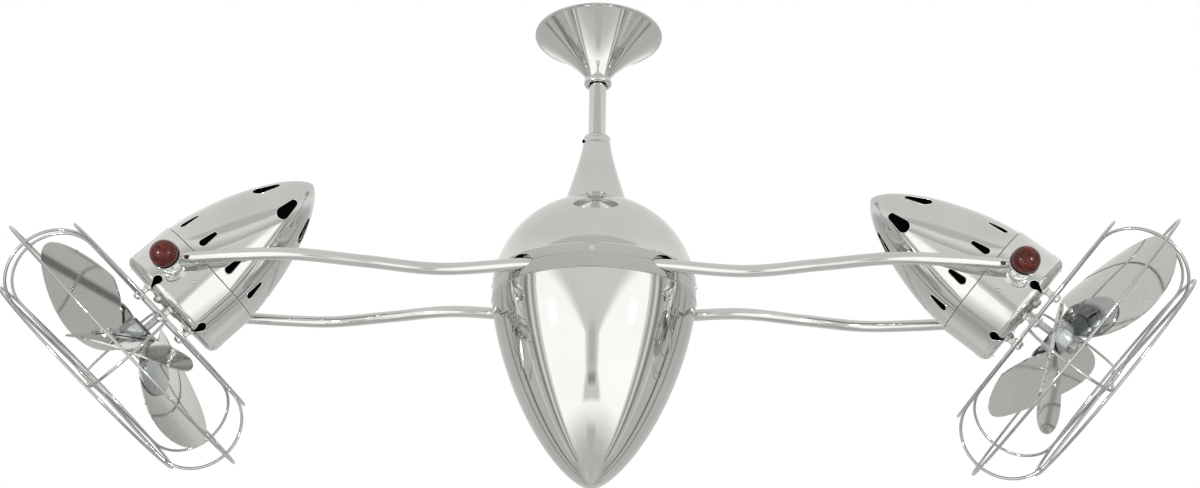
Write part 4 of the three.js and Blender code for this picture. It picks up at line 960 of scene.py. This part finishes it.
def room():
    """The round room near the fan that its polished metal mirrors: a white panel in front with a grey
    waisted shape in its middle, grey sides with thin bands, and a pale ceiling. Only mirrored and
    transmitted rays meet it."""
    mat = bpy.data.materials.new("room")
    mat.use_nodes = True
    tree = mat.node_tree
    tree.nodes.clear()

    def calc(kind, a, b=None):
        node = tree.nodes.new("ShaderNodeMath")
        node.operation = kind
        for socket, value in zip(node.inputs, (a, b)):
            if isinstance(value, (int, float)):
                socket.default_value = value
            elif value is not None:
                tree.links.new(value, socket)
        return node.outputs[0]

    def product(a, b):
        return calc("MULTIPLY", a, b)

    def above(value, limit):
        return calc("MAXIMUM", calc("SUBTRACT", value, limit), 0)

    def edge(value, start, end):
        """Rises smoothly from 0 to 1 between two values, or falls where the second is the lower."""
        node = tree.nodes.new("ShaderNodeMapRange")
        node.interpolation_type = "SMOOTHSTEP"
        node.inputs["From Min"].default_value = min(start, end)
        node.inputs["From Max"].default_value = max(start, end)
        node.inputs["To Min"].default_value = float(start > end)
        node.inputs["To Max"].default_value = float(start < end)
        tree.links.new(value, node.inputs["Value"])
        return node.outputs["Result"]

    def band(value, low, high, soft):
        return product(edge(value, low - soft, low + soft), edge(value, high + soft, high - soft))

    def over(base, level, mask):
        return calc("ADD", product(base, calc("SUBTRACT", 1, mask)), product(mask, level))

    def ramp(stops):
        node = tree.nodes.new("ShaderNodeValToRGB")
        points = node.color_ramp.elements
        for n, (height, level) in enumerate(stops):
            point = points[n] if n < 2 else points.new(1)
            point.position = (height + 90) / 180
            point.color = (level, level, level, 1)
        tree.links.new(calc("ADD", calc("DIVIDE", up, 180), 0.5), node.inputs["Fac"])
        return node.outputs["Color"]

    # The direction from the room's centre. Near the lowest point, lines run straight across the
    # floor instead of meeting there.
    place = tree.nodes.new("ShaderNodeTexCoord")
    away = tree.nodes.new("ShaderNodeMapping")
    away.inputs["Location"].default_value = (0, 0, -ROOM_CENTRE / ROOM)
    away.inputs["Scale"].default_value = [1000 / ROOM] * 3
    tree.links.new(place.outputs["Object"], away.inputs["Vector"])
    split = tree.nodes.new("ShaderNodeSeparateXYZ")
    tree.links.new(away.outputs["Vector"], split.inputs[0])
    x, y, z = split.outputs
    ahead = calc("ADD", product(y, -1), product(above(product(z, -1), 0.88), 5))
    around = product(calc("ABSOLUTE", calc("ARCTAN2", x, ahead)), DEGREE)
    up = product(calc("ARCSINE", z), DEGREE)

    level = over(ramp(SIDES), ramp(REAR), edge(around, 135, 160))
    level = over(level, ramp(PANEL), edge(around, 66, 62))
    # A darker arch at the foot of the ceiling, in front.
    arch = edge(calc("ADD", up, product(product(around, around), 0.003)), 47, 44)
    level = over(level, 0.64, product(arch, edge(up, 33, 36)))
    # The grey shape in the panel: wide at its top, narrow below 17 degrees down, wider at its foot.
    waist = calc("ADD", product(above(up, -17), 1.35), product(above(product(up, -1), 30), 0.8))
    centre = edge(calc("DIVIDE", around, calc("ADD", waist, 9)), 1.15, 0.65)
    level = over(level, 0.82, product(centre, band(up, -41, 18, 1.5)))
    # Its core, the dark spot at the core's foot, and the strip on the floor below.
    level = over(level, 0.62, product(edge(around, 6, 2), band(up, -30, -14, 5)))
    level = over(level, 0.4, product(edge(around, 7, 4), band(up, -35, -31, 1.5)))
    level = over(level, 0.62, product(edge(around, 14, 10), band(up, -91, -52, 4)))
    for low, high, shade in BANDS:
        level = over(level, shade, product(band(around, low, high, 0.8), band(up, -60, 15, 6)))

    color = tree.nodes.new("ShaderNodeCombineXYZ")
    for socket, share in zip(color.inputs, (1, 1, 0.965)):
        tree.links.new(product(level, share), socket)
    glow = tree.nodes.new("ShaderNodeEmission")
    tree.links.new(color.outputs[0], glow.inputs["Color"])
    clear = tree.nodes.new("ShaderNodeBsdfTransparent")
    path = tree.nodes.new("ShaderNodeLightPath")
    out = tree.nodes.new("ShaderNodeOutputMaterial")
    mirrored = calc("MAXIMUM", path.outputs["Is Glossy Ray"], path.outputs["Is Transmission Ray"])
    blend(tree, mirrored, clear, glow, out.inputs["Surface"])
    ball = [(ROOM * math.sin(math.pi * t), ROOM_CENTRE - ROOM * math.cos(math.pi * t))
            for t in steps(48)]
    ball[0], ball[-1] = (0, ROOM_CENTRE - ROOM), (0, ROOM_CENTRE + ROOM)
    revolve("room", ball, mat, 96, closed=False)


def lamp(name, place, target, size, power):
    """A square soft lamp, in metres and watts."""
    data = bpy.data.lights.new(name, "AREA")
    data.size = size
    data.energy = power
    obj = bpy.data.objects.new(name, data)
    obj.visible_camera = False
    obj.location = place
    aim = Vector(target) - Vector(place)
    obj.rotation_euler = aim.to_track_quat("-Z", "Y").to_euler()
    bpy.context.scene.collection.objects.link(obj)


def floor():
    """Pale floor that keeps the fan's shadow."""
    mat, tree, shader = material("floor", (0.86, 0.86, 0.85), 0, 0.9)
    tint(tree, shader, noise(tree, 2, 3), (0.85, 0.85, 0.84), (0.88, 0.88, 0.87))
    corners = [(x * FLOOR_HALF, y * FLOOR_HALF, FLOOR) for x, y in ((-1, -1), (1, -1), (1, 1), (-1, 1))]
    plane = mesh("floor", corners, [[0, 1, 2, 3]], mat, smooth=False)


camera()
backdrop()
room()
floor()
lamp("key", (-0.85, -0.85, -0.5), (0, 0, -0.3), 0.14, 4)
lamp("fill", (0.85, -0.85, -0.5), (0, 0, -0.3), 0.14, 3)

dress(make_canopy(), "ceiling_mount", "chrome", "canopy")
dress(make_canopy_collar(), "ceiling_mount", "chrome", "canopy_collar")
dress(make_rod(), "ceiling_mount", "chrome", "downrod")
dress(make_neck_collar(), "ceiling_mount", "chrome", "neck_collar")
dress(make_upper_housing(), "turret", "chrome", "upper_housing")
band_shell, band_painted_shade_ring, band_screws = make_band()
band_shell.name = "housing_band_shell"
dress(band_shell, "turret", "chrome", "housing_band")
# The ring behind the band is near-black painted shade, put in the phenolic slot.
dress(band_painted_shade_ring, "turret", "phenolic")
dress(band_screws, "turret", "chrome")
dress(make_lower_cover(), "turret", "chrome", "lower_cover")
for side_x, hand in ((-1, "left"), (1, "right")):
    for side_y, end in ((-1, "front"), (1, "rear")):
        dress(make_arm(side_x, side_y), "turret", "chrome", f"{hand}_{end}_arm")

for side in ("left", "right"):
    head, fan = f"{side}_head", f"{side}_fan"
    dress(make_can(side), head, "chrome", f"{side}_motor_can")
    dress(make_rear_shell(side), head, "chrome", f"{side}_rear_shell")
    # The liner is near-black painted shade inside the shells, put in the phenolic slot.
    dress(make_painted_shade_liner(side), head, "phenolic")
    dress(make_front_plate(side), head, "satin_steel", f"{side}_front_plate")
    dress(make_guard(side), head, "chrome", f"{side}_guard")
    dress(make_badge(side), head, "chrome", f"{side}_guard_badge")
    for end in ("front", "rear"):
        dress(make_boss(side, end), head, "chrome", f"{side}_pivot_boss_{end}")
        dress(make_knob(side, end), f"{side}_{end}_knob", "mahogany", f"{side}_knob_{end}")
    dress(make_rotor(side), fan, "bearing_steel", f"{side}_rotor")
    dress(make_fan_hub(side), fan, "satin_steel", f"{side}_fan_hub")
    dress(make_nut(side), fan, "zinc_steel", f"{side}_hub_nut")
    for index in range(BLADE_COUNT):
        dress(make_blade(side, index), fan, "blade_steel", f"{side}_blade_{index + 1}")

# Nodes that keep their CAD shape get a finish of their own.
KEPT = {
    "hanger_bracket": zinc, "hanger_bolt": zinc, "spindle_nut": zinc, "hanger_bushing": rubber,
    "spindle": bearing, "upper_bearing_inner": bearing, "lower_bearing_inner": bearing,
    "upper_bearing_outer": bearing, "lower_bearing_outer": bearing, "slip_ring_drum": phenolic,
    "brush_holder": phenolic, "arm_carrier": satin, "left_stator": sheets, "right_stator": sheets,
    "left_rear_bracket": satin, "right_rear_bracket": satin,
}
for node, finish in KEPT.items():
    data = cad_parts[node].data
    data.materials.clear()
    data.materials.append(finish)

bpy.context.scene.view_settings.view_transform = "Standard"
